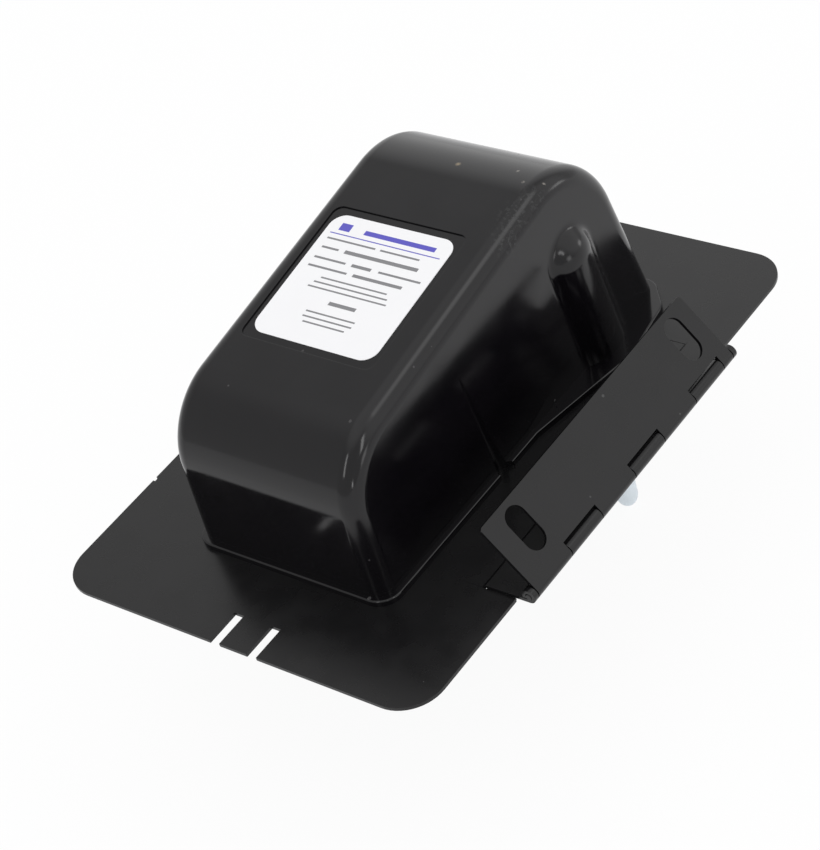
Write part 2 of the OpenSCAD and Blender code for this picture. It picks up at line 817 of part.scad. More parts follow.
module varistor() {
    color([0.15, 0.3, 0.6]) {
        translate([varistor_at[0] - varistor_t / 2, varistor_at[1], board_top + leg_lift + varistor_r])
            rotate([0, 90, 0]) cylinder(r = varistor_r, h = varistor_t);
        board_pins(varistor_at, [[0, -3], [0, 3]], leg_lift + 2);
    }
}

// Ties the mid-point of the secondary to the plate
module ground_strap() {
    color([0.8, 0.7, 0.4])
    translate([-strap_w / 2, 0, 0]) difference() {
        union() {
            translate([0, strap_y - strap_foot, plate_t]) cube([strap_w, strap_foot, strap_t]);
            translate([0, strap_y - strap_t, plate_t]) cube([strap_w, strap_t, board_top - plate_t + strap_t]);
            translate([0, strap_y - strap_t, board_top]) cube([strap_w, strap_foot, strap_t]);
        }
        translate([strap_w / 2, rivet_y, 0]) cylinder(r = rivet_r + rivet_gap, h = cover_z);
    }
}

module ground_rivet() {
    color([0.75, 0.75, 0.78])
    translate([0, rivet_y, 0]) {
        translate([0, 0, -rivet_head_t]) cylinder(r = rivet_head_r, h = rivet_head_t);
        cylinder(r = rivet_r, h = plate_t + strap_t);
        translate([0, 0, plate_t + strap_t]) cylinder(r = rivet_head_r, h = rivet_head_t);
    }
}

// One U-shaped half of the ferrite core: a yoke and two legs that point up
module core_half() {
    half = leg_x + leg_w / 2;
    leg = (window_z - spacer_t) / 2;
    translate([-half, core_y - leg_w / 2, 0]) cube([2 * half, leg_w, yoke_t]);
    for (s = [-1, 1]) translate([s * leg_x - leg_w / 2, core_y - leg_w / 2, 0]) cube([leg_w, leg_w, yoke_t + leg]);
}

module core_lower() {
    color([0.25, 0.25, 0.27]) translate([0, 0, core_z]) core_half();
}

module core_upper() {
    color([0.25, 0.25, 0.27]) translate([0, 0, core_top]) mirror([0, 0, 1]) core_half();
}

module core_spacers() {
    color([0.8, 0.7, 0.5])
    for (s = [-1, 1]) translate([s * leg_x - leg_w / 2, core_y - leg_w / 2, core_mid - spacer_t / 2])
        cube([leg_w, leg_w, spacer_t]);
}

// Bobbin: hub and flanges, with the primary section below the high-voltage sections
function flange_z(i) = i == 0 ? 0 : bobbin_t + primary_h + (i - 1) * (hv_h + bobbin_t);

module at_leg(side) {
    translate([side * leg_x, core_y, window_z0 + seat_gap]) children();
}

module bobbin(side) {
    height = flange_z(sections + 1) + bobbin_t;
    hole = leg_w + 2 * leg_gap;
    color([0.9, 0.9, 0.85])
    at_leg(side) difference() {
        union() {
            cylinder(r = hub_r, h = height);
            for (i = [0 : sections + 1]) translate([0, 0, flange_z(i)]) cylinder(r = bobbin_r, h = bobbin_t);
        }
        translate([-hole / 2, -hole / 2, -past]) cube([hole, hole, height + 2 * past]);
    }
}

module bobbin_left() { bobbin(-1); }
module bobbin_right() { bobbin(1); }

module coil(h) {
    difference() {
        cylinder(r = coil_r, h = h);
        translate([0, 0, -past]) cylinder(r = hub_r + coil_gap, h = h + 2 * past);
    }
}

module primary_coils() {
    color([0.75, 0.4, 0.15])
    for (s = [-1, 1]) at_leg(s) translate([0, 0, bobbin_t + coil_gap]) coil(primary_h - 2 * coil_gap);
}

module hv_winding(side) {
    color([0.65, 0.3, 0.12])
    for (i = [1 : sections]) at_leg(side) translate([0, 0, flange_z(i) + bobbin_t + coil_gap]) coil(hv_h - 2 * coil_gap);
}

module hv_winding_left() { hv_winding(-1); }
module hv_winding_right() { hv_winding(1); }

// Lead from the outermost section to the top of the stud, drawn on the right. Its pocket has
// cylinders that run past the bend in place of the round bend
leg_to_term = [term_x - leg_x, term_y - core_y, 0];
lead_dir = leg_to_term / norm(leg_to_term);
lead_a = [leg_x, core_y, lead_z] + lead_start_r * lead_dir;
lead_b = [term_x, term_y, lead_z];
stud_top = [term_x, term_y, stud_top_z];

module lead_shape() {
    r = lead_d / 2;
    between(lead_a, lead_b, r, r);
    for (p = [lead_a, lead_b]) translate(p) sphere(r);
    between(stud_top, lead_b, r, r);
}

module lead_pocket(g) {
    r = lead_d / 2 + g;
    between(lead_a - r * lead_dir, lead_b + r * lead_dir, r, r);
    between(stud_top, lead_b + [0, 0, r], r, r);
}

module hv_lead_left() {
    color([0.7, 0.1, 0.1]) mirror([1, 0, 0]) lead_shape();
}

module hv_lead_right() {
    color([0.7, 0.1, 0.1]) lead_shape();
}

// Everything that the compound flows round, each piece grown by a gap
module pockets(g) {
    sink = [sink_x - fet_size[0], sink_x + sink_foot];
    board_shape(g);
    at_posts() cylinder(r = post_r + g, h = post_h + board_t + g);
    at_cradles() translate([-cradle_w / 2 - g, -leg_w / 2 - g, 0]) cube([cradle_w + 2 * g, leg_w + 2 * g, core_lift]);
    at_bosses() cylinder(r = boss_r + g, h = house_z + boss_h + g);
    for (at = bulk_at) translate([at[0], at[1], board_top]) cylinder(r = bulk_d / 2 + g, h = bulk_h + g);
    block(filter_at, filter_size, g);
    block(resonant_at, resonant_size, g);
    block(resistor_at, resistor_size, g);
    block(bridge_at, bridge_size + [0, 0, leg_lift], g);
    block(fuse_at, [fuse_l, 2 * fuse_r + 1, 2 * fuse_r + 1], g);
    block(varistor_at, [varistor_t, 2 * varistor_r, 2 * varistor_r + leg_lift], g);
    block(choke_at, [2 * (choke_r + choke_wire_r), 2.4 * choke_wire_r, 2 * (choke_r + choke_wire_r) + base_t], g);
    translate([drive_at[0], drive_at[1], board_top]) cylinder(r = drive_r + drive_wire_r + g, h = 2 * drive_wire_r + base_t);
    block([(sink[0] + sink[1]) / 2, (sink_y[0] + sink_y[1]) / 2], [sink[1] - sink[0], sink_y[1] - sink_y[0], sink_h], g);
    translate([-strap_w / 2 - g, cavity_y0 - past, 0])
        cube([strap_w + 2 * g, strap_y - cavity_y0 + past + g, board_top + strap_t + g]);
    translate([-strap_w / 2 - g, strap_y - g, board_top]) cube([strap_w + 2 * g, strap_foot + g, strap_t + g]);
    translate([0, lead_y, 0]) cylinder(r = lead_hole_r + grommet_lip + g, h = cover_z + grommet_lip_t + g);
    difference() {
        translate([-leg_x - leg_w / 2 - g, core_y - leg_w / 2 - g, core_z - g])
            cube([leg_pitch + leg_w + 2 * g, leg_w + 2 * g, core_top - core_z + 2 * g]);
        translate([-leg_x + leg_w / 2 + g, core_y - leg_w, window_z0 + g])
            cube([leg_pitch - leg_w - 2 * g, 2 * leg_w, window_z - 2 * g]);
    }
    for (s = [-1, 1]) {
        at_leg(s) translate([0, 0, -g]) cylinder(r = bobbin_r + g, h = window_z - 2 * seat_gap + 2 * g);
        at_terminal(s) {
            cylinder(r = bush_flange_r + g, h = cover_z + bush_flange_t + g);
            cylinder(r = bush_top_r + g, h = bush_top_z + g);
            cylinder(r = nut_d / 2 + g, h = bush_top_z + nut_t + g);
            cylinder(r = stud_r + g, h = stud_top_z + g);
        }
    }
    both_sides() lead_pocket(g);
}

module potting_compound() {
    color([0.2, 0.17, 0.13])
    difference() {
        shell_form(wall + pot_gap, coarse);
        translate([-plate_w / 2, -plate_l / 2, -past]) cube([plate_w, plate_l, cover_z + pot_gap + past]);
        pockets(pot_gap);
    }
}

mounting_plate();
hinge_leaf();
hinge_pin();
housing();
label();
base_cover();
potting_compound();
housing_screws();
lead_grommet();
bushing_left();
bushing_right();
stud_left();
stud_right();
terminal_nuts();
contact_cap_left();
contact_cap_right();
circuit_board();
bulk_capacitors();
filter_capacitor();
resonant_capacitor();
bridge_rectifier();
heat_sink();
power_transistors();
line_choke();
drive_toroid();
power_resistor();
fuse();
varistor();
ground_strap();
ground_rivet();
core_lower();
core_upper();
core_spacers();
bobbin_left();
bobbin_right();
primary_coils();
hv_winding_left();
hv_winding_right();
hv_lead_left();
hv_lead_right();
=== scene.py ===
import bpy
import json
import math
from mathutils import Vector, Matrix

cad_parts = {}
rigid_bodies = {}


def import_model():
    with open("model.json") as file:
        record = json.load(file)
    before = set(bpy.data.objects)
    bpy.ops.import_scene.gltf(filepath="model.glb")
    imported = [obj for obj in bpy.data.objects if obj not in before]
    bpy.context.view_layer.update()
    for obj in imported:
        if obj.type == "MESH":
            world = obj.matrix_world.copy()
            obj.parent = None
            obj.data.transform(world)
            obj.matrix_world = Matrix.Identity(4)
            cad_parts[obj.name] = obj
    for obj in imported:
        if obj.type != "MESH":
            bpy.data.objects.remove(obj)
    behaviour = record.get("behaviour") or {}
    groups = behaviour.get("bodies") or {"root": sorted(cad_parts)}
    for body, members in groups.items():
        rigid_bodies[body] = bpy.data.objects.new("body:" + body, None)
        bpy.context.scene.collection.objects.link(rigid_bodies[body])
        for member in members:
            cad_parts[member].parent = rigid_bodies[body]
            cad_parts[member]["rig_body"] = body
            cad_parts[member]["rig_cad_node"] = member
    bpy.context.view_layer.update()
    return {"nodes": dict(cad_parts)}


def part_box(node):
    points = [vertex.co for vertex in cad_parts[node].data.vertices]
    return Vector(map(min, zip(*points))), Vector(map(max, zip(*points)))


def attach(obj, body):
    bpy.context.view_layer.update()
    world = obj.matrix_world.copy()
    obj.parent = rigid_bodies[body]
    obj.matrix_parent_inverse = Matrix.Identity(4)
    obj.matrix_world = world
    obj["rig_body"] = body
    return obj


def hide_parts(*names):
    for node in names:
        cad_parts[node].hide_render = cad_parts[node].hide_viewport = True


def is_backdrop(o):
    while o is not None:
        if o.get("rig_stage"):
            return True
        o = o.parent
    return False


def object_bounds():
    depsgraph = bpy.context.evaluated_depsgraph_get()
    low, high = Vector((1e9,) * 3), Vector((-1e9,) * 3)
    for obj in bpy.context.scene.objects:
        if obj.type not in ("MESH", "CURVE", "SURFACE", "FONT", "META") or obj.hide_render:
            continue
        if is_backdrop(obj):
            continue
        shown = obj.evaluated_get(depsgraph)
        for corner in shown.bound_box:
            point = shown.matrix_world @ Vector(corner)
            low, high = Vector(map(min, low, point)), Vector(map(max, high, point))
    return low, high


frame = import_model()

# %% [markdown]
# # An ignition transformer, dressed for its portrait
# The measured parts are loaded: a sheet-steel plate, a rolled hinge leaf, a black moulded housing
# and everything that is potted inside. They are in metres, on their real places, and stay put.
# What this lesson adds is the look: crisp bevels, soft moulded blends, gloss, paint, dust and light.

MM = 0.001
MERGE = 0.003 * MM  # vertices nearer than this are one
THIN = 1e-6  # for slicing, well under any real size in metres
nodes = frame["nodes"]

# %% [markdown]
# ## The camera
# The photograph looks down on the near right corner through a long lens. Its direction was solved
# from the straight edges of the plate and leaf, so the camera is written as a place and three
# directions: right, down and forward. A long lens keeps the far edge almost as large as the near one.

# %% Camera
EYE = Vector((0.454517, -0.420539, 0.506601))
RIGHT = Vector((0.784208, 0.571071, -0.242685))
DOWN = Vector((0.234836, -0.635173, -0.735804))
FORWARD = Vector((-0.574343, 0.520032, -0.632216))

lens = bpy.data.cameras.new("portrait_lens")
lens.lens = 109.189
lens.clip_start, lens.clip_end = 0.05, 20
camera = bpy.data.objects.new("portrait_camera", lens)
bpy.context.scene.collection.objects.link(camera)
turn = Matrix((RIGHT, -DOWN, -FORWARD)).transposed()
camera.matrix_world = Matrix.Translation(EYE) @ turn.to_4x4()
bpy.context.scene.camera = camera
print("camera at", [round(v, 3) for v in EYE], "lens", lens.lens)

# %% [markdown]
# ## Bench habits
# An operator works on whatever is selected, so every step starts from an empty selection. Faces and
# edges are picked by where they are or which way they face, as a hand would pick them.


# %% Bench helpers
def clear_selection():
    if bpy.context.mode != "OBJECT":
        bpy.ops.object.mode_set(mode="OBJECT")
    bpy.ops.object.select_all(action="DESELECT")


def take(piece):
    clear_selection()
    piece.select_set(True)
    bpy.context.view_layer.objects.active = piece


def newest(name):
    piece = bpy.context.active_object
    piece.name = piece.data.name = name
    return piece


def settle(piece):
    """Puts the piece's place into its mesh, so its object sits at the origin."""
    take(piece)
    bpy.ops.object.transform_apply(location=True, rotation=True, scale=True)
    return piece


def press(piece, kind, **settings):
    """Adds one modifier and applies it."""
    take(piece)
    m = piece.modifiers.new(kind.title(), kind)
    for key, value in settings.items():
        setattr(m, key, value)
    bpy.ops.object.modifier_apply(modifier=m.name)


def pick(piece, edges=None, faces=None):
    """Selects the edges or faces for which the test is true, and goes into edit mode on them."""
    take(piece)
    bpy.ops.object.mode_set(mode="EDIT")
    bpy.ops.mesh.select_mode(type="EDGE" if edges else "FACE")
    bpy.ops.mesh.select_all(action="DESELECT")
    bpy.ops.object.mode_set(mode="OBJECT")
    data = piece.data
    count = 0
    if edges:
        for e in data.edges:
            e.select = bool(edges(*[data.vertices[i].co for i in e.vertices]))
            count += e.select
    else:
        for f in data.polygons:
            f.select = bool(faces(f))
            count += f.select
    bpy.ops.object.mode_set(mode="EDIT")
    return count


def done():
    bpy.ops.object.mode_set(mode="OBJECT")


def weld(*pieces):
    """Joins separate pieces into the first one."""
    clear_selection()
    for p in pieces:
        p.select_set(True)
    bpy.context.view_layer.objects.active = pieces[0]
    bpy.ops.object.join()
    return pieces[0]


def wrap(piece):
    """Pulls one tight skin round everything in the piece, and merges its flat parts."""
    take(piece)
    bpy.ops.object.mode_set(mode="EDIT")
    bpy.ops.mesh.select_all(action="SELECT")
    bpy.ops.mesh.convex_hull(join_triangles=False)
    bpy.ops.mesh.select_all(action="SELECT")
    bpy.ops.mesh.remove_doubles(threshold=0.002 * MM)
    bpy.ops.mesh.dissolve_limited(angle_limit=math.radians(0.25))
    done()
    return piece


def copy_of(node, name):
    """A copy of a measured part under a new name, with its faces merged into clean ones."""
    take(nodes[node])
    bpy.ops.object.duplicate()
    piece = newest(name)
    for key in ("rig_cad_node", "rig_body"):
        if key in piece:
            del piece[key]
    piece.parent = None
    take(piece)
    bpy.ops.object.mode_set(mode="EDIT")
    bpy.ops.mesh.select_all(action="SELECT")
    bpy.ops.mesh.remove_doubles(threshold=MERGE)
    bpy.ops.mesh.dissolve_limited(angle_limit=math.radians(0.6))
    done()
    return piece


def cut(piece, tool, operation="DIFFERENCE"):
    """Cuts the tool out of the piece, or adds it, and throws the tool away."""
    press(piece, "BOOLEAN", operation=operation, object=tool, solver="EXACT")
    bpy.data.objects.remove(tool, do_unlink=True)


print("bench ready")

# %% [markdown]
# ## The moulded housing
# On the real unit this is one thin-walled black moulding. Its side profile is two arcs, a tight
# shoulder near the front and a big crown at the back, joined by a straight slope. The side walls lean
# in by a degree or two so that it leaves the mould, and the long edges are well rounded. It could be
# sculpted from a block, but the arcs would be guesses. Here two rollers and a thin foot are placed
# where they were measured, one skin is pulled tight round them, both sides are sliced to the draft,
# and only then are the long edges rounded, which is the order the toolmaker works in.

# %% Measures of the housing, in millimetres
SHOULDER = (-46.2, 32.0, 25.5)
CROWN = (39.5, 39.6, 30.7)
FOOT_HALF, FOOT_NEAR, FOOT_FAR = 36.0, -72.3, 77.7
TOP_HALF, EDGE_ROUND, WALL = 34.5, 6.0, 2.5
PLATE_TOP, FLANGE_TOP = 1.2, 3.2
FLANGE_HALF, FLANGE_NEAR, FLANGE_FAR = 38, FOOT_NEAR - 1.4, FOOT_FAR + 2
FLANGE_ROUND = EDGE_ROUND + 1.3
FLARE_BAR = (5, 69.7)  # its reach along the length
FLARE_DISCS = ((29, 46.5, 17), (36.3, 66.5, 7), (30.7, 72.4, 7.2))  # x, y, radius
FLANGE_EASE, FOOT_EASE, RIM_EASE = 0.55, 0.5, 0.18  # hair roundings of the flange, the foot's corner, the recess
LABEL_AT, LABEL_SIZE = (-2.2, -11), (46.2, 48.6)
RECESS_HALF, RECESS_DEPTH, RECESS_CORNER = (25, 27), 0.5, 3
SCREWS_AT = [(x, y) for x in (-29.5, 29.5) for y in (-67.5, 71.2)]
SCREW_BOSS, SCREW_HOLE = 4.5, 2.0
PILLAR_TOP = 41.0
PILLAR_FOOT, PILLAR_HEAD = (25.6, 46.9, 14.8), (28.0, 42.6, 12.2)  # x, y, radius
draft = (FOOT_HALF - TOP_HALF) / (CROWN[1] + CROWN[2] - EDGE_ROUND - FLANGE_TOP)
rise = (CROWN[0] - SHOULDER[0], CROWN[1] - SHOULDER[1])
tilt = math.atan2(rise[1], rise[0]) + math.asin((CROWN[2] - SHOULDER[2]) / math.hypot(*rise))


def top_height(y):
    """Height of the sloped top at a place along the length."""
    level = -math.sin(tilt) * SHOULDER[0] + math.cos(tilt) * SHOULDER[1] + SHOULDER[2]
    return (level + math.sin(tilt) * y) / math.cos(tilt)


def wall_at(z):
    """Half the housing's width at a height."""
    return FOOT_HALF - (z - FLANGE_TOP) * draft


def pillar_at(z):
    """Middle and radius of a pillar at a height: wide at the foot, and leaning a little to the near end."""
    share = min(1, max(0, (z - PLATE_TOP) / (PILLAR_TOP - PLATE_TOP)))
    return [a + (b - a) * share for a, b in zip(PILLAR_FOOT, PILLAR_HEAD)]


print("slope of the top:", round(math.degrees(tilt), 2), "degrees; wall draft", round(math.degrees(draft), 2))


# %% Rollers, foot and skin
ROLLER_HALF = 45  # wider than the housing, so that both sides can be sliced


def roller(y, z, r):
    clear_selection()
    bpy.ops.mesh.primitive_cylinder_add(vertices=240, radius=r * MM, depth=2 * ROLLER_HALF * MM,
                                        location=(0, y * MM, z * MM), rotation=(0, math.pi / 2, 0))
    return settle(newest("roller"))


def slab(name, x, y, z, corner=0):
    """A block between the given pairs of limits, with its upright edges rounded."""
    clear_selection()
    bpy.ops.mesh.primitive_cube_add(size=1, location=[sum(v) / 2 * MM for v in (x, y, z)],
                                    scale=[(v[1] - v[0]) * MM for v in (x, y, z)])
    piece = settle(newest(name))
    if corner:
        pick(piece, edges=lambda a, b: abs(a.z - b.z) > THIN)
        bpy.ops.mesh.bevel(offset=corner * MM, segments=16, affect="EDGES")
        done()
    return piece


def moulded_form(name, inset, low):
    """The closed form of the moulding, shrunk evenly by inset, with its foot at the height low."""
    foot = slab("foot", (-ROLLER_HALF, ROLLER_HALF), (FOOT_NEAR + inset, FOOT_FAR - inset), (low, FLANGE_TOP - 0.3))
    y, z, r = SHOULDER
    Y, Z, R = CROWN
    form = wrap(weld(foot, roller(y, z, r - inset), roller(Y, Z, R - inset)))
    form.name = form.data.name = name
    for side in (-1, 1):
        take(form)
        bpy.ops.object.mode_set(mode="EDIT")
        bpy.ops.mesh.select_all(action="SELECT")
        bpy.ops.mesh.bisect(plane_co=(side * (FOOT_HALF - inset) * MM, 0, FLANGE_TOP * MM),
                            plane_no=(side * math.cos(draft), 0, math.sin(draft)), use_fill=True, clear_outer=True,
                            threshold=THIN)
        done()

    def long_edge(a, b):
        on_wall = all(abs(abs(p.x) / MM - (wall_at(p.z / MM) - inset)) < 0.01 for p in (a, b))
        return on_wall and a.x * b.x > 0 and max(a.z, b.z) > (low + 0.01) * MM

    pick(form, edges=long_edge)
    bpy.ops.mesh.bevel(offset=(EDGE_ROUND - inset) * MM, segments=14, affect="EDGES", clamp_overlap=False)
    done()
    return form


shell = moulded_form("housing_shell", 0, PLATE_TOP)
print("outer form faces:", len(shell.data.polygons))

# %% [markdown]
# ## The pillars
# A domed boss stands half out of each side wall, over a terminal, and runs into the wall in a soft
# hollow. A straight union would leave a knife-sharp seam. Instead a fine sheet is dropped sideways onto
# the wall with the boss in front of it, as film is drawn over a pattern, and only the seam is smoothed.
# The sheet then takes its place in the wall.


# %% Boss
DOME_STEPS = 24


def boss(side, inset, low):
    """A leaning, drafted pillar whose top ring is pushed up and in again and again to turn its dome."""
    (x, y, r), (head_x, head_y, head_r) = pillar_at(low), PILLAR_HEAD
    height, head_r = PILLAR_TOP - low, head_r - inset
    clear_selection()
    bpy.ops.mesh.primitive_cone_add(vertices=120, radius1=(r - inset) * MM, radius2=head_r * MM, depth=height * MM,
                                    location=(side * x * MM, y * MM, (low + height / 2) * MM))
    piece = settle(newest("boss"))
    pick(piece, faces=lambda f: f.normal.z > 0.99)
    bpy.ops.transform.translate(value=(side * (head_x - x) * MM, (head_y - y) * MM, 0))
    for i in range(1, DOME_STEPS):
        a, b = (math.pi / 2 * k / DOME_STEPS for k in (i - 1, i))
        up = head_r * MM * (math.sin(b) - math.sin(a))
        bpy.ops.mesh.extrude_region_move(TRANSFORM_OT_translate={"value": (0, 0, up)})
        s = math.cos(b) / math.cos(a)
        bpy.ops.transform.resize(value=(s, s, 1), center_override=(side * head_x * MM, head_y * MM, 0))
    done()
    return piece


# %% Sheet over the boss
LEDGE = 2.2
SHEET_Y, SHEET_Z = (30.2, 60.0), (LEDGE, 53.2)
WIDE_CELLS, TALL_CELLS = 58, 100
SEAM_PASSES = ((1.5, 10), (1.85, 5))  # reach from the seam, how many times it is smoothed
SEAM_MERGE = 0.02  # joins the sheet to the wall


def seam_distance(p):
    """How far a point of the sheet lies from the seam between boss and wall, seen from the side."""
    z = p.z / MM
    x, y, r = pillar_at(z)
    half_chord = math.sqrt(r * r - (wall_at(z) - x) ** 2)
    return math.hypot(p.y / MM - y, max(z - PILLAR_TOP, 0)) - half_chord


def boss_sheet(side):
    take(shell)
    bpy.ops.object.duplicate()
    pattern = weld(bpy.context.active_object, boss(side, 0, PLATE_TOP))
    clear_selection()
    wide, tall = SHEET_Y[1] - SHEET_Y[0], SHEET_Z[1] - SHEET_Z[0]
    bpy.ops.mesh.primitive_grid_add(x_subdivisions=TALL_CELLS, y_subdivisions=WIDE_CELLS, size=1,
                                    location=(side * 46 * MM, sum(SHEET_Y) / 2 * MM, sum(SHEET_Z) / 2 * MM),
                                    rotation=(0, side * math.pi / 2, 0))
    sheet = newest("boss_sheet")
    sheet.scale = (tall * MM, wide * MM, 1)
    settle(sheet)
    press(sheet, "SHRINKWRAP", target=pattern, wrap_method="PROJECT", use_project_x=True,
          use_positive_direction=side < 0, use_negative_direction=side > 0)
    bpy.data.objects.remove(pattern, do_unlink=True)
    for reach, repeat in SEAM_PASSES:
        pick(sheet, edges=lambda a, b: max(abs(seam_distance(a)), abs(seam_distance(b))) < reach)
        bpy.ops.mesh.vertices_smooth(factor=0.5, repeat=repeat, xaxis=True, yaxis=False, zaxis=False)
        done()
    # The foot of the sheet is turned in to the wall, inside the flange to come
    at_wall = min(abs(v.co.x) for v in sheet.data.vertices if v.co.z < (LEDGE + 0.01) * MM)
    pick(sheet, edges=lambda a, b: max(a.z, b.z) < (LEDGE + 0.01) * MM)
    bpy.ops.mesh.extrude_edges_move(TRANSFORM_OT_translate={"value": (0, 0, 0)})
    bpy.ops.transform.resize(value=(0, 1, 1), center_override=(side * at_wall, 0, 0))
    bpy.ops.mesh.select_all(action="SELECT")
    bpy.ops.mesh.remove_doubles(threshold=SEAM_MERGE * MM)
    done()
    return sheet


def open_edges(piece):
    """How many edges don't have exactly two faces: none, in a closed piece."""
    count = {}
    for f in piece.data.polygons:
        for key in f.edge_keys:
            count[key] = count.get(key, 0) + 1
    return sum(1 for n in count.values() if n != 2)


def near(v, at):
    return abs(v - at * MM) < SEAM_MERGE * MM


def set_in_wall(side):
    """Cuts a window of the sheet's size in the wall, divides its rim as the sheet's rim is, and joins them."""
    sheet = boss_sheet(side)

    def wall_face(f):
        return f.normal.x * side > 0.99 and f.area > 40 * MM * MM

    for at in SHEET_Y:
        pick(shell, faces=wall_face)
        bpy.ops.mesh.bisect(plane_co=(0, at * MM, 0), plane_no=(0, 1, 0), threshold=THIN)
        done()
    for at in SHEET_Z:
        pick(shell, faces=lambda f: wall_face(f) and SHEET_Y[0] * MM < f.center.y < SHEET_Y[1] * MM)
        bpy.ops.mesh.bisect(plane_co=(0, 0, at * MM), plane_no=(0, 0, 1), threshold=THIN)
        done()
    pick(shell, faces=lambda f: wall_face(f) and f.area > 1000 * MM * MM
         and SHEET_Y[0] * MM < f.center.y < SHEET_Y[1] * MM)
    bpy.ops.mesh.delete(type="ONLY_FACE")
    done()

    def in_window(p):
        return (p.x * side > 0 and (SHEET_Y[0] - SEAM_MERGE) * MM < p.y < (SHEET_Y[1] + SEAM_MERGE) * MM
                and (SHEET_Z[0] - SEAM_MERGE) * MM < p.z < (SHEET_Z[1] + SEAM_MERGE) * MM)

    rims = ((lambda a, b: any(near(a.y, y) and near(b.y, y) for y in SHEET_Y), TALL_CELLS),
            (lambda a, b: any(near(a.z, z) and near(b.z, z) for z in SHEET_Z), WIDE_CELLS))
    for on_rim, cells in rims:
        pick(shell, edges=lambda a, b: in_window(a) and in_window(b) and on_rim(a, b) and (a - b).length > 20 * MM)
        bpy.ops.mesh.subdivide(number_cuts=cells - 1)
        done()
    weld(shell, sheet)
    take(shell)
    bpy.ops.object.mode_set(mode="EDIT")
    bpy.ops.mesh.select_mode(type="EDGE")
    bpy.ops.mesh.select_all(action="DESELECT")
    bpy.ops.mesh.select_non_manifold(extend=False, use_wire=False, use_multi_face=False, use_non_contiguous=False,
                                     use_verts=False)
    bpy.ops.mesh.remove_doubles(threshold=SEAM_MERGE * MM)
    bpy.ops.mesh.select_all(action="SELECT")
    bpy.ops.mesh.normals_make_consistent(inside=False)
    done()


for side in (-1, 1):
    set_in_wall(side)
    print("boss sheet set in, open edges:", open_edges(shell), "faces:", len(shell.data.polygons))

# %% [markdown]
# ## Flange, flute and label recess
# The foot ends in a thin flange. It flares out round the pillars, because the terminals' bushings
# seat there. The flare is the skin round a bar and three discs on each side, so its straight runs
# are true tangents.
# The flute in each side wall is a cone laid in the wall, and the recess a slab laid on the slope.


# %% Flange
def disc(x, y, z, r):
    clear_selection()
    bpy.ops.mesh.primitive_cylinder_add(vertices=120, radius=r * MM, depth=(z[1] - z[0]) * MM,
                                        location=(x * MM, y * MM, sum(z) / 2 * MM))
    return settle(newest("disc"))


level = (PLATE_TOP, FLANGE_TOP)
flare = slab("flare", (-FLANGE_HALF, FLANGE_HALF), FLARE_BAR, level)
for x, y, r in FLARE_DISCS:
    flare = weld(flare, disc(-x, y, level, r), disc(x, y, level, r))
flare = wrap(flare)
flange = slab("flange", (-FLANGE_HALF, FLANGE_HALF), (FLANGE_NEAR, FLANGE_FAR), level, FLANGE_ROUND)
cut(flange, flare, "UNION")


def on_top(a, b):
    return min(a.z, b.z) > (FLANGE_TOP - 0.01) * MM


pick(flange, edges=on_top)
bpy.ops.mesh.dissolve_limited(angle_limit=math.radians(1))
done()
pick(flange, edges=on_top)
bpy.ops.mesh.bevel(offset=FLANGE_EASE * MM, segments=4, affect="EDGES")
done()
cut(shell, flange, "UNION")


def at_foot(a, b):
    """An edge in the corner where the wall stands on the flange."""
    mid = (a + b) / 2 / MM
    beside = abs(mid.x) < FOOT_HALF + 0.2 and FOOT_NEAR - 0.5 < mid.y < FOOT_FAR + 0.5
    return near(a.z, FLANGE_TOP) and near(b.z, FLANGE_TOP) and beside


n = pick(shell, edges=at_foot)
bpy.ops.mesh.bevel(offset=FOOT_EASE * MM, segments=4, affect="EDGES", clamp_overlap=True)
done()
print("foot corner edges eased:", n, "open edges:", open_edges(shell))


# %% Flute and recess
FLUTE_FOOT, FLUTE_FOOT_R = (FOOT_HALF + 2.6, -11.4, 0.2), 3.5
FLUTE_TIP, FLUTE_TIP_R = ((FOOT_HALF + TOP_HALF) / 2, -17, 42.2), 0.4


def flute(side):
    """A cone whose wide end notches the flange and whose tip ends high on the wall."""
    foot_at, tip_at = (Vector((side * x, y, z)) * MM for x, y, z in (FLUTE_FOOT, FLUTE_TIP))
    along = tip_at - foot_at
    clear_selection()
    bpy.ops.mesh.primitive_cone_add(vertices=96, radius1=FLUTE_FOOT_R * MM, radius2=FLUTE_TIP_R * MM,
                                    depth=along.length, location=(foot_at + tip_at) / 2,
                                    rotation=along.to_track_quat("Z", "Y").to_euler())
    return settle(newest("flute"))


label_centre = Vector((*LABEL_AT, top_height(LABEL_AT[1])))
half_x, half_y = RECESS_HALF
recess = slab("recess", (-half_x, half_x), (-half_y, half_y), (-RECESS_DEPTH, 3), RECESS_CORNER)
recess.rotation_euler = (tilt, 0, 0)
recess.location = label_centre * MM
settle(recess)
for side in (-1, 1):
    cut(shell, flute(side))
cut(shell, recess)
print("housing faces:", len(shell.data.polygons), "open edges:", open_edges(shell))


# %% Ease the recess rim
def on_slope(p):
    """True on the sloped top, round the recess."""
    rel = p / MM - label_centre
    out = -math.sin(tilt) * rel.y + math.cos(tilt) * rel.z
    return abs(out) < 0.02 and abs(rel.x) < half_x + 0.2 and abs(rel.y) < half_y + 0.5


n = pick(shell, edges=lambda a, b: on_slope(a) and on_slope(b))
bpy.ops.mesh.bevel(offset=RIM_EASE * MM, segments=2, affect="EDGES")
done()
print("recess rim edges eased:", n)

# %% [markdown]
# ## The hollow
# The moulding is a shell with an even wall. The same form, shrunk by the wall, is what the core of the
# mould would be. Screw bosses are notched out of that core first, so that they stay solid in the corners.
# What is poured in later takes the hollow's form, so a copy of the filling is trimmed by the same core.

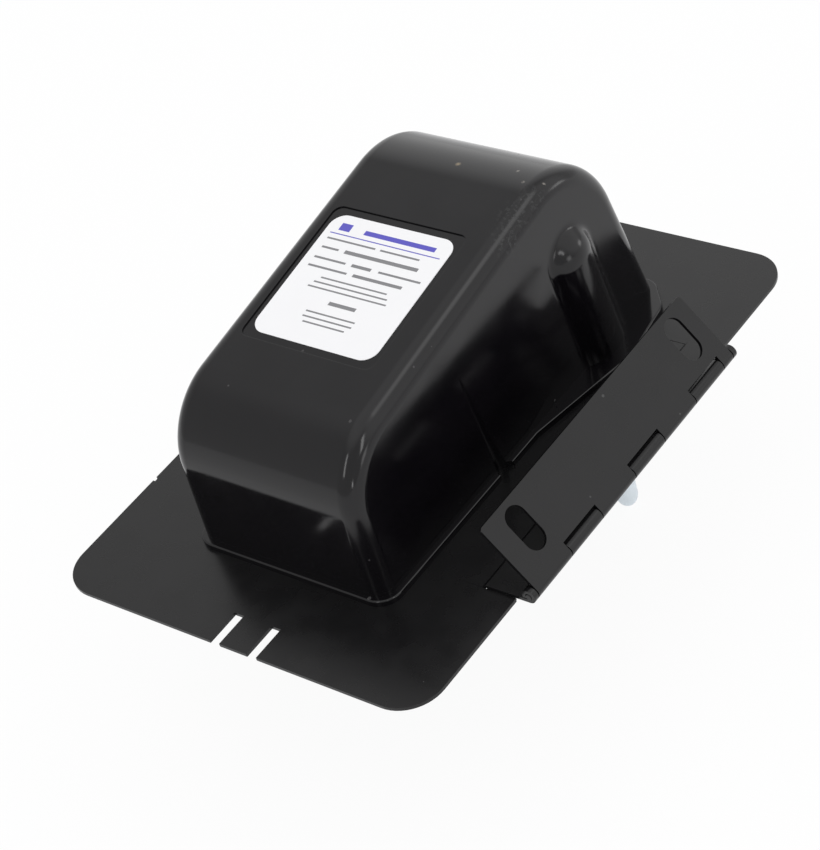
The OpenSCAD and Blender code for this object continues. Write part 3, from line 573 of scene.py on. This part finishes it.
# %% Core of the mould
core = moulded_form("core", WALL, PLATE_TOP - 1)
for side in (-1, 1):
    cut(core, boss(side, WALL, PLATE_TOP - 1.1), "UNION")
for x, y in SCREWS_AT:
    cut(core, disc(x, y, (PLATE_TOP - 3, PLATE_TOP + 15), SCREW_BOSS))
filling = copy_of("potting_compound", "poured_filling")
press(filling, "BOOLEAN", operation="INTERSECT", object=core, solver="EXACT")
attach(filling, "base")
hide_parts("potting_compound")
print("filling faces:", len(filling.data.polygons), "open edges:", open_edges(filling))
cut(shell, core)
for x, y in SCREWS_AT:
    cut(shell, disc(x, y, (PLATE_TOP - 1, PLATE_TOP + 12), SCREW_HOLE))
print("hollow housing faces:", len(shell.data.polygons), "open edges:", open_edges(shell))

# %% Shade the housing
take(shell)
bpy.ops.object.mode_set(mode="EDIT")
bpy.ops.mesh.select_all(action="SELECT")
bpy.ops.mesh.remove_doubles(threshold=MERGE)
bpy.ops.mesh.normals_make_consistent(inside=False)
done()
take(shell)
bpy.ops.object.shade_smooth_by_angle(angle=math.radians(34))
press(shell, "WEIGHTED_NORMAL", keep_sharp=True, weight=90)
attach(shell, "base")
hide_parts("housing")
triangles = sum(len(f.vertices) - 2 for f in shell.data.polygons)
print("housing triangles:", triangles, "open edges:", open_edges(shell))

# %% [markdown]
# ## Stamped steel
# The plate and the leaf are right as measured, but a measured edge is infinitely sharp and shows no
# glint. A copy of each is merged into clean faces and its edges are eased by a hair, as a tumbled
# and painted stamping has them. The slits beside the hinge strip are shear cuts that would show the
# pale floor below, so a lip of black plate fills each of them as painted shade and runs on under the lifted strip.


# %% Eased copies of the stampings
SHARP_TURN = math.radians(30)
STRIP_ENDS = ((-54.55, -1), (57.65, 1))  # y, and which way the slit lies
# The lips are painted shade: black plate that closes each slit where the pale floor would show through.
SLIT, SHADE_LIP_BACK, SHADE_LIP_UNDER = 0.15, 1.4, -0.3  # reaches from the strip's end
SHADE_LIP_BESIDE, SHADE_LIP_TUCKED = (49.2, 69.95), (59.6, 69.7)  # x, beside the strip and under it


def smooth(piece):
    take(piece)
    bpy.ops.object.shade_smooth_by_angle(angle=math.radians(40))
    press(piece, "WEIGHTED_NORMAL", keep_sharp=True, weight=80)


def eased_copy(node, name, body, width):
    """Wears in place of the measured part: the same piece with its sharp edges eased."""
    piece = copy_of(node, name)
    press(piece, "BEVEL", width=width * MM, segments=2, limit_method="ANGLE",
          angle_limit=SHARP_TURN, use_clamp_overlap=True)
    smooth(piece)
    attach(piece, body)
    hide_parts(node)
    print(name, "faces:", len(piece.data.polygons))
    return piece


plate = eased_copy("mounting_plate", "plate_stamping", "base", 0.2)
# Painted shade: a black lip closes each slit, beside the strip and tucked under it, where the floor would show.
for strip_end, side in STRIP_ENDS:
    shear, back, tucked = (strip_end + side * reach for reach in (SLIT, SHADE_LIP_BACK, SHADE_LIP_UNDER))
    cut(plate, slab("lip", SHADE_LIP_BESIDE, sorted((shear, back)), (0, PLATE_TOP)), "UNION")
    cut(plate, slab("lip", SHADE_LIP_TUCKED, sorted((tucked, back)), (0.1, PLATE_TOP - 0.03)), "UNION")
smooth(plate)
print("plate with its slits drawn close, open edges:", open_edges(plate))
leaf = eased_copy("hinge_leaf", "leaf_stamping", "leaf", 0.2)

# %% [markdown]
# ## Fittings
# The pin, the label's film and all that shows below the plate get the same treatment, each with a
# rounding that suits how it is made: a hair on a film, more on a moulding, most on glazed porcelain.
# The photo shows the contact tips slimmer than they were measured, so their copies are drawn in.

# %% Eased copies of the fittings
TIP_SLIMMER = 0.75
FITTINGS = [  # node, piece, slot, rounding in millimetres
    ("hinge_pin", "pin_wire", "steel_wire", 0.25), ("label", "label_sheet", "label_film", 0.04),
    ("base_cover", "cover_moulding_piece", "cover_plastic", 0.3), ("lead_grommet", "lead_bush", "rubber", 0.3),
    ("housing_screws", "corner_screws", "zinc_steel", 0.12), ("ground_rivet", "tie_rivet", "zinc_steel", 0.12),
    ("terminal_nuts", "stud_nuts", "zinc_steel", 0.15), ("bushing_left", "porcelain_left", "porcelain", 0.4),
    ("bushing_right", "porcelain_right", "porcelain", 0.4), ("contact_cap_left", "domed_tip_left", "zinc_cap", 0.2),
    ("contact_cap_right", "domed_tip_right", "zinc_cap", 0.2)]
for node, name, slot_name, width in FITTINGS:
    piece = eased_copy(node, name, "leaf" if nodes[node].parent.name.endswith("leaf") else "base", width)
    if name.startswith("domed_tip"):
        low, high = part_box(node)
        take(piece)
        bpy.ops.object.mode_set(mode="EDIT")
        bpy.ops.mesh.select_all(action="SELECT")
        bpy.ops.transform.resize(value=(TIP_SLIMMER, TIP_SLIMMER, 1), center_override=(low + high) / 2)
        done()

# %% [markdown]
# ## Finishes
# Each finish is a small network. What several finishes share is a group with named sockets: fine
# grain for the height and the tone, dust that has settled in specks, and a scuffed patch with its
# edge broken up. A group only hands out values that change over the surface; the shader and its
# constants stay in the material.


# %% Shared groups
def new_group(name, inputs, outputs):
    g = bpy.data.node_groups.new(name, "ShaderNodeTree")
    for label, kind, value in inputs:
        s = g.interface.new_socket(name=label, in_out="INPUT", socket_type=kind)
        if value is not None:
            s.default_value = value
    for label in outputs:
        g.interface.new_socket(name=label, in_out="OUTPUT", socket_type="NodeSocketFloat")
    return g, g.nodes.new("NodeGroupInput"), g.nodes.new("NodeGroupOutput")


def maths(tree, operation, a, b=None, clamp=False):
    n = tree.nodes.new("ShaderNodeMath")
    n.operation = operation
    n.use_clamp = clamp
    for i, v in enumerate((a, b)):
        if v is None:
            continue
        if isinstance(v, (int, float)):
            n.inputs[i].default_value = v
        else:
            tree.links.new(v, n.inputs[i])
    return n.outputs[0]


FLOAT, VECTOR = "NodeSocketFloat", "NodeSocketVector"

grain, gi, go = new_group("fine_grain", [("Vector", VECTOR, None), ("Scale", FLOAT, 900.0),
                                         ("Broad Scale", FLOAT, 40.0)], ["Height", "Tone"])
fine = grain.nodes.new("ShaderNodeTexNoise")
broad = grain.nodes.new("ShaderNodeTexNoise")
fine.inputs["Detail"].default_value = 3
broad.inputs["Detail"].default_value = 4
grain.links.new(gi.outputs["Vector"], fine.inputs["Vector"])
grain.links.new(gi.outputs["Vector"], broad.inputs["Vector"])
grain.links.new(gi.outputs["Scale"], fine.inputs["Scale"])
grain.links.new(gi.outputs["Broad Scale"], broad.inputs["Scale"])
grain.links.new(fine.outputs[0], go.inputs["Height"])
grain.links.new(broad.outputs[0], go.inputs["Tone"])

dust, di, do = new_group("settled_dust", [("Vector", VECTOR, None), ("Scale", FLOAT, 150.0),
                                          ("Share", FLOAT, 0.1), ("Size", FLOAT, 0.12)], ["Mask"])
cells = dust.nodes.new("ShaderNodeTexVoronoi")
dust.links.new(di.outputs["Vector"], cells.inputs["Vector"])
dust.links.new(di.outputs["Scale"], cells.inputs["Scale"])
split = dust.nodes.new("ShaderNodeSeparateColor")
dust.links.new(cells.outputs["Color"], split.inputs[0])
chosen = maths(dust, "LESS_THAN", split.outputs[0], di.outputs["Share"])
radius = maths(dust, "MULTIPLY", maths(dust, "POWER", split.outputs[1], 2.0), di.outputs["Size"])
inside = maths(dust, "LESS_THAN", cells.outputs["Distance"], radius)
dust.links.new(maths(dust, "MULTIPLY", chosen, inside), do.inputs["Mask"])

scuff, si, so = new_group("scuffed_patch", [("Vector", VECTOR, None), ("Middle", VECTOR, None),
                                            ("Reach", FLOAT, 0.002), ("Broken", FLOAT, 0.5)], ["Mask"])
away = scuff.nodes.new("ShaderNodeVectorMath")
away.operation = "DISTANCE"
scuff.links.new(si.outputs["Vector"], away.inputs[0])
scuff.links.new(si.outputs["Middle"], away.inputs[1])
flecks = scuff.nodes.new("ShaderNodeTexNoise")
flecks.inputs["Scale"].default_value = 900
flecks.inputs["Detail"].default_value = 3
scuff.links.new(si.outputs["Vector"], flecks.inputs["Vector"])
nearness = maths(scuff, "SUBTRACT", 1, maths(scuff, "DIVIDE", away.outputs["Value"], si.outputs["Reach"]), clamp=True)
worn = maths(scuff, "SUBTRACT", flecks.outputs[0], si.outputs["Broken"])
scuff.links.new(maths(scuff, "MULTIPLY", maths(scuff, "MULTIPLY", worn, 12, clamp=True), nearness), so.inputs["Mask"])
print("groups:", grain.name, dust.name, scuff.name)


# %% One way to build a finish
def lay_over(tree, mask, under, color):
    """Lays a plain colour over what is under it, where the mask says so."""
    over = tree.nodes.new("ShaderNodeMix")
    over.data_type = "RGBA"
    tree.links.new(mask, over.inputs["Factor"])
    tree.links.new(under, over.inputs["A"])
    over.inputs["B"].default_value = (*color, 1)
    return over.outputs["Result"]


def finish(name, color, roughness, metallic=0.0, grain_scale=900.0, broad_scale=40.0, bump=0.02, bump_mm=0.02,
           tone=0.15, rough_swing=0.08, ior=1.5, dust_share=0.0, dust_scale=150.0, dust_size=0.12,
           dust_color=(0.35, 0.35, 0.35)):
    """A material in which only tone, roughness and relief vary, with dust where a share is given."""
    m = bpy.data.materials.new(name)
    m.use_nodes = True
    t = m.node_tree
    t.nodes.clear()
    out = t.nodes.new("ShaderNodeOutputMaterial")
    shader = t.nodes.new("ShaderNodeBsdfPrincipled")
    t.links.new(shader.outputs[0], out.inputs[0])
    where = t.nodes.new("ShaderNodeTexCoord").outputs["Object"]
    g = t.nodes.new("ShaderNodeGroup")
    g.node_tree = grain
    t.links.new(where, g.inputs["Vector"])
    g.inputs["Scale"].default_value = grain_scale
    g.inputs["Broad Scale"].default_value = broad_scale
    mix = t.nodes.new("ShaderNodeMix")
    mix.data_type = "RGBA"
    mix.inputs["A"].default_value = [c * (1 - tone) for c in color] + [1]
    mix.inputs["B"].default_value = [min(1, c * (1 + tone)) for c in color] + [1]
    t.links.new(g.outputs["Tone"], mix.inputs["Factor"])
    colour = mix.outputs["Result"]
    swing = t.nodes.new("ShaderNodeMapRange")
    swing.inputs["From Min"].default_value, swing.inputs["From Max"].default_value = 0.3, 0.7
    swing.inputs["To Min"].default_value = max(0.02, roughness - rough_swing)
    swing.inputs["To Max"].default_value = min(1, roughness + rough_swing)
    t.links.new(g.outputs["Tone"], swing.inputs["Value"])
    rough = swing.outputs["Result"]
    if dust_share:
        d = t.nodes.new("ShaderNodeGroup")
        d.node_tree = dust
        t.links.new(where, d.inputs["Vector"])
        for key, value in (("Scale", dust_scale), ("Share", dust_share), ("Size", dust_size)):
            d.inputs[key].default_value = value
        colour = lay_over(t, d.outputs["Mask"], colour, dust_color)
        rough = maths(t, "MAXIMUM", rough, maths(t, "MULTIPLY", d.outputs["Mask"], 0.8))
    t.links.new(colour, shader.inputs["Base Color"])
    t.links.new(rough, shader.inputs["Roughness"])
    relief = t.nodes.new("ShaderNodeBump")
    relief.inputs["Strength"].default_value = bump
    relief.inputs["Distance"].default_value = bump_mm * MM
    t.links.new(g.outputs["Height"], relief.inputs["Height"])
    t.links.new(relief.outputs[0], shader.inputs["Normal"])
    shader.inputs["Metallic"].default_value = metallic
    shader.inputs["IOR"].default_value = ior
    m["shader"] = shader.name
    return m


def wear(piece, material):
    piece.data.materials.clear()
    piece.data.materials.append(material)


gloss_black = finish("gloss_black_moulding", (0.0033, 0.0029, 0.0038), 0.14, grain_scale=700, broad_scale=55,
                     bump=0.25, bump_mm=0.01, tone=0.25, rough_swing=0.04, ior=1.43, dust_share=0.07,
                     dust_scale=330, dust_size=0.2, dust_color=(0.05, 0.048, 0.05))
black_paint = finish("black_paint", (0.0045, 0.0043, 0.0048), 0.28, grain_scale=1300, broad_scale=90, bump=0.35,
                     bump_mm=0.02, tone=0.2, rough_swing=0.06, ior=1.42, dust_share=0.05, dust_scale=300,
                     dust_size=0.18, dust_color=(0.06, 0.06, 0.06))

SCUFFS = [  # colour, then: place in millimetres, reach, how broken up
    ((0.24, 0.19, 0.12), [((1.7, 41.2, 70.3), 1.1, 0.3)]),
    ((0.24, 0.22, 0.2), [((21.9, 44.2, 69.9), 0.7, 0.35), ((26.9, 39.7, 70.3), 0.7, 0.35),
                         ((32.2, 42.4, 68.7), 0.7, 0.4)]),
    ((0.025, 0.025, 0.026), [((33.3, 19.7, 65.2), 7, 0.52), ((31.5, 27.7, 68), 7, 0.52),
                             ((32.6, 36, 68.6), 6, 0.54)])]
t = gloss_black.node_tree
shader = t.nodes[gloss_black["shader"]]
colour = shader.inputs["Base Color"].links[0].from_socket
rough = shader.inputs["Roughness"].links[0].from_socket
where = t.nodes.new("ShaderNodeTexCoord").outputs["Object"]
for tone, patches in SCUFFS:
    mask = None
    for place, reach, broken in patches:
        g = t.nodes.new("ShaderNodeGroup")
        g.node_tree = scuff
        t.links.new(where, g.inputs["Vector"])
        g.inputs["Middle"].default_value = Vector(place) * MM
        g.inputs["Reach"].default_value, g.inputs["Broken"].default_value = reach * MM, broken
        mask = g.outputs[0] if mask is None else maths(t, "MAXIMUM", mask, g.outputs[0])
    colour = lay_over(t, mask, colour, tone)
    rough = maths(t, "MAXIMUM", rough, maths(t, "MULTIPLY", mask, 0.5))
t.links.new(colour, shader.inputs["Base Color"])
t.links.new(rough, shader.inputs["Roughness"])
wear(shell, gloss_black)
wear(plate, black_paint)
wear(leaf, black_paint)

# %% [markdown]
# ## Finishes of the smaller parts
# Most of these are hidden in the potting, but each is finished as what it is: enamelled copper,
# ferrite, glazed porcelain, zinc plate, glass and so on, from the same recipe with its own values.

# %% Small-part finishes
SMALL = {
    "bright_zinc": dict(color=(0.62, 0.64, 0.67), roughness=0.3, metallic=1.0, grain_scale=1500, tone=0.08),
    "pale_plated": dict(color=(0.84, 0.91, 0.98), roughness=0.32, metallic=0.85, grain_scale=1500, tone=0.05),
    "plain_brass": dict(color=(0.62, 0.47, 0.2), roughness=0.3, metallic=1.0, grain_scale=1200),
    "glazed_porcelain": dict(color=(0.82, 0.8, 0.74), roughness=0.12, grain_scale=300, bump=0.1, tone=0.04),
    "soft_rubber": dict(color=(0.02, 0.02, 0.02), roughness=0.7, grain_scale=1800, bump=0.4),
    "cover_moulding": dict(color=(0.02, 0.02, 0.021), roughness=0.5, grain_scale=1100, bump=0.4),
    "cast_resin": dict(color=(0.05, 0.042, 0.03), roughness=0.35, grain_scale=200, broad_scale=60),
    "board_mask": dict(color=(0.02, 0.16, 0.05), roughness=0.3, grain_scale=800),
    "dark_sleeve": dict(color=(0.02, 0.025, 0.09), roughness=0.25, grain_scale=500),
    "yellow_box": dict(color=(0.62, 0.45, 0.06), roughness=0.4, grain_scale=700),
    "red_dip": dict(color=(0.42, 0.04, 0.03), roughness=0.25, grain_scale=500),
    "black_epoxy": dict(color=(0.012, 0.012, 0.012), roughness=0.55, grain_scale=1500, bump=0.5),
    "mill_aluminium": dict(color=(0.75, 0.76, 0.77), roughness=0.35, metallic=1.0, grain_scale=900),
    "copper_wire": dict(color=(0.6, 0.24, 0.09), roughness=0.3, metallic=0.9, grain_scale=1600, bump=0.6),
    "fine_copper_wire": dict(color=(0.42, 0.15, 0.05), roughness=0.35, metallic=0.8, grain_scale=3200, bump=0.6),
    "wound_ring": dict(color=(0.1, 0.25, 0.1), roughness=0.4, grain_scale=1600, bump=0.5),
    "cement_body": dict(color=(0.72, 0.7, 0.62), roughness=0.75, grain_scale=1300, bump=0.5),
    "blue_dip": dict(color=(0.03, 0.1, 0.35), roughness=0.25, grain_scale=500),
    "ground_ferrite": dict(color=(0.04, 0.04, 0.045), roughness=0.45, grain_scale=1700, bump=0.3),
    "pressed_card": dict(color=(0.45, 0.34, 0.18), roughness=0.8, grain_scale=1500, bump=0.5),
    "natural_nylon": dict(color=(0.72, 0.71, 0.63), roughness=0.4, grain_scale=900),
    "red_silicone": dict(color=(0.4, 0.03, 0.02), roughness=0.45, grain_scale=1200),
}
made = {name: finish(name, **values) for name, values in SMALL.items()}

clear_tube = finish("clear_tube", (0.85, 0.88, 0.9), 0.05, tone=0.03, rough_swing=0.02, ior=1.47)
clear_tube.node_tree.nodes[clear_tube["shader"]].inputs["Transmission Weight"].default_value = 0.85
made["clear_tube"] = clear_tube
made["black_paint"] = black_paint

WHO_WEARS = {
    "bright_zinc": "housing_screws terminal_nuts ground_rivet",
    "pale_plated": "contact_cap_left contact_cap_right",
    "black_paint": "hinge_pin",  # the pin wears the hinge's black finish, so its end is as dark as the hinge
    "plain_brass": "stud_left stud_right ground_strap",
    "glazed_porcelain": "bushing_left bushing_right",
    "soft_rubber": "lead_grommet",
    "cover_moulding": "base_cover",
    "cast_resin": "potting_compound",
    "board_mask": "circuit_board",
    "dark_sleeve": "bulk_capacitors",
    "yellow_box": "filter_capacitor",
    "red_dip": "resonant_capacitor",
    "black_epoxy": "bridge_rectifier power_transistors",
    "mill_aluminium": "heat_sink",
    "copper_wire": "line_choke primary_coils",
    "fine_copper_wire": "hv_winding_left hv_winding_right",
    "wound_ring": "drive_toroid",
    "cement_body": "power_resistor",
    "clear_tube": "fuse",
    "blue_dip": "varistor",
    "ground_ferrite": "core_lower core_upper",
    "pressed_card": "core_spacers",
    "natural_nylon": "bobbin_left bobbin_right",
    "red_silicone": "hv_lead_left hv_lead_right",
}
COPY_OF = {node: name for node, name, slot_name, width in FITTINGS}
COPY_OF["potting_compound"] = "poured_filling"
for material, names in WHO_WEARS.items():
    for name in names.split():
        wear(nodes[name], made[material])
        if name in COPY_OF:
            wear(bpy.data.objects[COPY_OF[name]], made[material])
print("finishes:", len(made) + 1)

# %% [markdown]
# ## The label
# A white film lies in the recess. Its print is kept plain: blue bars for a heading, a rule below it,
# and grey bars of several lengths where rows of print would be. The finish itself draws them, in the
# label's own place and slope, so the film stays one flat piece.

# %% One printed bar
bar, ri, ro = new_group("printed_bar", [("Vector", VECTOR, None), ("Middle", VECTOR, None),
                                        ("Half Width", FLOAT, 0.3), ("Half Height", FLOAT, 0.02)], ["Mask"])
gap = bar.nodes.new("ShaderNodeVectorMath")
gap.operation = "SUBTRACT"
bar.links.new(ri.outputs["Vector"], gap.inputs[0])
bar.links.new(ri.outputs["Middle"], gap.inputs[1])
apart = bar.nodes.new("ShaderNodeVectorMath")
apart.operation = "ABSOLUTE"
bar.links.new(gap.outputs[0], apart.inputs[0])
xyz = bar.nodes.new("ShaderNodeSeparateXYZ")
bar.links.new(apart.outputs[0], xyz.inputs[0])
in_width = maths(bar, "LESS_THAN", xyz.outputs[0], ri.outputs["Half Width"])
in_height = maths(bar, "LESS_THAN", xyz.outputs[1], ri.outputs["Half Height"])
bar.links.new(maths(bar, "MULTIPLY", in_width, in_height), ro.inputs["Mask"])

# %% Where the bars stand
BARS = {  # ink: (middle u, middle v, half width, half height) in shares of the label
    (0.10, 0.09, 0.5): [(-0.36, 0.405, 0.045, 0.03), (0.09, 0.4, 0.29, 0.018), (0.0, 0.345, 0.45, 0.004)],
    (0.22, 0.22, 0.23): [
        (-0.24, 0.3, 0.2, 0.007), (0.16, 0.3, 0.16, 0.007), (-0.36, 0.225, 0.07, 0.008), (0.06, 0.225, 0.3, 0.014),
        (-0.3, 0.14, 0.13, 0.008), (-0.04, 0.14, 0.08, 0.012), (0.27, 0.14, 0.17, 0.008), (-0.27, 0.07, 0.16, 0.008),
        (0.14, 0.07, 0.2, 0.012), (0.0, 0.0, 0.27, 0.006), (0.0, -0.04, 0.3, 0.006), (0.0, -0.08, 0.32, 0.006),
        (0.03, -0.17, 0.11, 0.014), (0.0, -0.26, 0.2, 0.006), (0.0, -0.3, 0.2, 0.006), (0.0, -0.34, 0.17, 0.006)]}
film = finish("printed_film", (0.87, 0.87, 0.885), 0.4, grain_scale=1500, broad_scale=60, bump=0.1,
              tone=0.015, ior=1.4)
t = film.node_tree
shader = t.nodes[film["shader"]]
place = t.nodes.new("ShaderNodeMapping")
place.vector_type = "TEXTURE"
place.inputs["Location"].default_value = label_centre * MM
place.inputs["Rotation"].default_value = (tilt, 0, 0)
place.inputs["Scale"].default_value = (LABEL_SIZE[0] * MM, LABEL_SIZE[1] * MM, 1)
t.links.new(t.nodes.new("ShaderNodeTexCoord").outputs["Object"], place.inputs["Vector"])
colour = shader.inputs["Base Color"].links[0].from_socket
for ink_colour, bars in BARS.items():
    ink = None
    for u, v, w, h in bars:
        g = t.nodes.new("ShaderNodeGroup")
        g.node_tree = bar
        t.links.new(place.outputs[0], g.inputs["Vector"])
        g.inputs["Middle"].default_value = (u, v, 0)
        g.inputs["Half Width"].default_value = w
        g.inputs["Half Height"].default_value = h
        ink = g.outputs[0] if ink is None else maths(t, "MAXIMUM", ink, g.outputs[0])
    colour = lay_over(t, ink, colour, ink_colour)
t.links.new(colour, shader.inputs["Base Color"])
wear(nodes["label"], film)
wear(bpy.data.objects["label_sheet"], film)
print("printed bars:", sum(len(bars) for bars in BARS.values()))

# %% [markdown]
# ## Floor and light
# The photograph is a cut-out on white: soft light from all round, and no hard shadow. A pale floor
# lies under the terminals' tips and the world is a white tent with a few brighter panels, which is
# where a glossy black moulding gets its highlights. Camera, gloss and glass see the floor as plain
# white, but it keeps a little of the object's shadow.

# %% Floor
FLOOR_AT = -68.5  # millimetres, just under the tips
FLOOR_TO_CAMERA, FLOOR_MIRRORED = 0.93, 0.5  # shares of plain white
clear_selection()
bpy.ops.mesh.primitive_plane_add(size=6, location=(0, 0, FLOOR_AT * MM))
floor = newest("studio_floor")
floor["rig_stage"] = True
floor_mat = bpy.data.materials.new("studio_paper")
floor_mat.use_nodes = True
t = floor_mat.node_tree
t.nodes.clear()
out = t.nodes.new("ShaderNodeOutputMaterial")
matt = t.nodes.new("ShaderNodeBsdfDiffuse")
matt.inputs["Color"].default_value = (0.88, 0.88, 0.89, 1)
glow = t.nodes.new("ShaderNodeEmission")
glow.inputs["Color"].default_value = (1, 1, 1, 1)
glow.inputs["Strength"].default_value = 1.0
ray = t.nodes.new("ShaderNodeLightPath")
mirrored = maths(t, "MAXIMUM", ray.outputs["Is Glossy Ray"], ray.outputs["Is Transmission Ray"])
seen = maths(t, "ADD", maths(t, "MULTIPLY", ray.outputs["Is Camera Ray"], FLOOR_TO_CAMERA),
             maths(t, "MULTIPLY", mirrored, FLOOR_MIRRORED))
blend = t.nodes.new("ShaderNodeMixShader")
t.links.new(seen, blend.inputs[0])
t.links.new(matt.outputs[0], blend.inputs[1])
t.links.new(glow.outputs[0], blend.inputs[2])
t.links.new(blend.outputs[0], out.inputs[0])
wear(floor, floor_mat)

# %% Tent and its brighter panels
TENT_LEVEL = 0.72
PANELS = [  # turn, height in degrees, radius fully lit, radius where it ends, gain
    (118, 20, 15, 38, 0.5),    # the wide one behind, on the crown and the plate's far side
    (36, 32, 22, 42, 0.5),     # the one on the right, on the leaf and the long rounding
    (42, 54, 3, 13, 1.1),      # its bright middle, the streak along the rounding
    (0, 90, 15, 45, 0.5)]      # overhead
world = bpy.data.worlds.new("white_tent")
bpy.context.scene.world = world
world.use_nodes = True
t = world.node_tree
t.nodes.clear()
toward = t.nodes.new("ShaderNodeTexCoord").outputs["Generated"]
level = TENT_LEVEL
for turn, height, lit, end, gain in PANELS:
    a, e = math.radians(turn), math.radians(height)
    along = t.nodes.new("ShaderNodeVectorMath")
    along.operation = "DOT_PRODUCT"
    t.links.new(toward, along.inputs[0])
    along.inputs[1].default_value = (math.cos(a) * math.cos(e), math.sin(a) * math.cos(e), math.sin(e))
    fade = t.nodes.new("ShaderNodeMapRange")
    fade.interpolation_type = "SMOOTHSTEP"
    fade.inputs["From Min"].default_value = math.cos(math.radians(end))
    fade.inputs["From Max"].default_value = math.cos(math.radians(lit))
    fade.inputs["To Max"].default_value = gain
    t.links.new(along.outputs["Value"], fade.inputs["Value"])
    level = maths(t, "ADD", level, fade.outputs["Result"])
sky = t.nodes.new("ShaderNodeBackground")
sky.inputs["Color"].default_value = (1, 1, 1, 1)
t.links.new(level, sky.inputs["Strength"])
t.links.new(sky.outputs[0], t.nodes.new("ShaderNodeOutputWorld").inputs[0])
print("panels in the tent:", len(PANELS))


# %% Soft boxes
def soft_box(name, turn, height, width, tall, brightness, reach=1.6):
    """A soft box seen from the object at a turn and height, as wide and tall as so many degrees."""
    a, e = math.radians(turn), math.radians(height)
    toward = Vector((math.cos(a) * math.cos(e), math.sin(a) * math.cos(e), math.sin(e)))
    lamp = bpy.data.lights.new(name, "AREA")
    lamp.shape = "RECTANGLE"
    lamp.size, lamp.size_y = (2 * reach * math.tan(math.radians(d / 2)) for d in (width, tall))
    lamp.energy = brightness * math.pi * lamp.size * lamp.size_y
    holder = bpy.data.objects.new(name, lamp)
    bpy.context.scene.collection.objects.link(holder)
    holder.location = toward * reach + Vector((0, 0, 0.03))
    holder.rotation_euler = (-toward).to_track_quat("-Z", "Y").to_euler()
    print(name, "energy:", round(lamp.energy, 2))


soft_box("box_left_of_camera", -86, 34, 7, 26, 4)
soft_box("box_right_of_camera", -14, 34, 7, 24, 4)
soft_box("lamp_below_camera", -42, 4, 5, 5, 7)
soft_box("window_right", -3, 4, 12, 11, 2)
soft_box("strip_far_right", 50, 4, 12, 8, 2.6)
bpy.context.scene.view_settings.view_transform = "Standard"

# %% Finish
low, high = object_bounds()
print("visual box, mm:", [round((b - a) / MM, 1) for a, b in zip(low, high)])
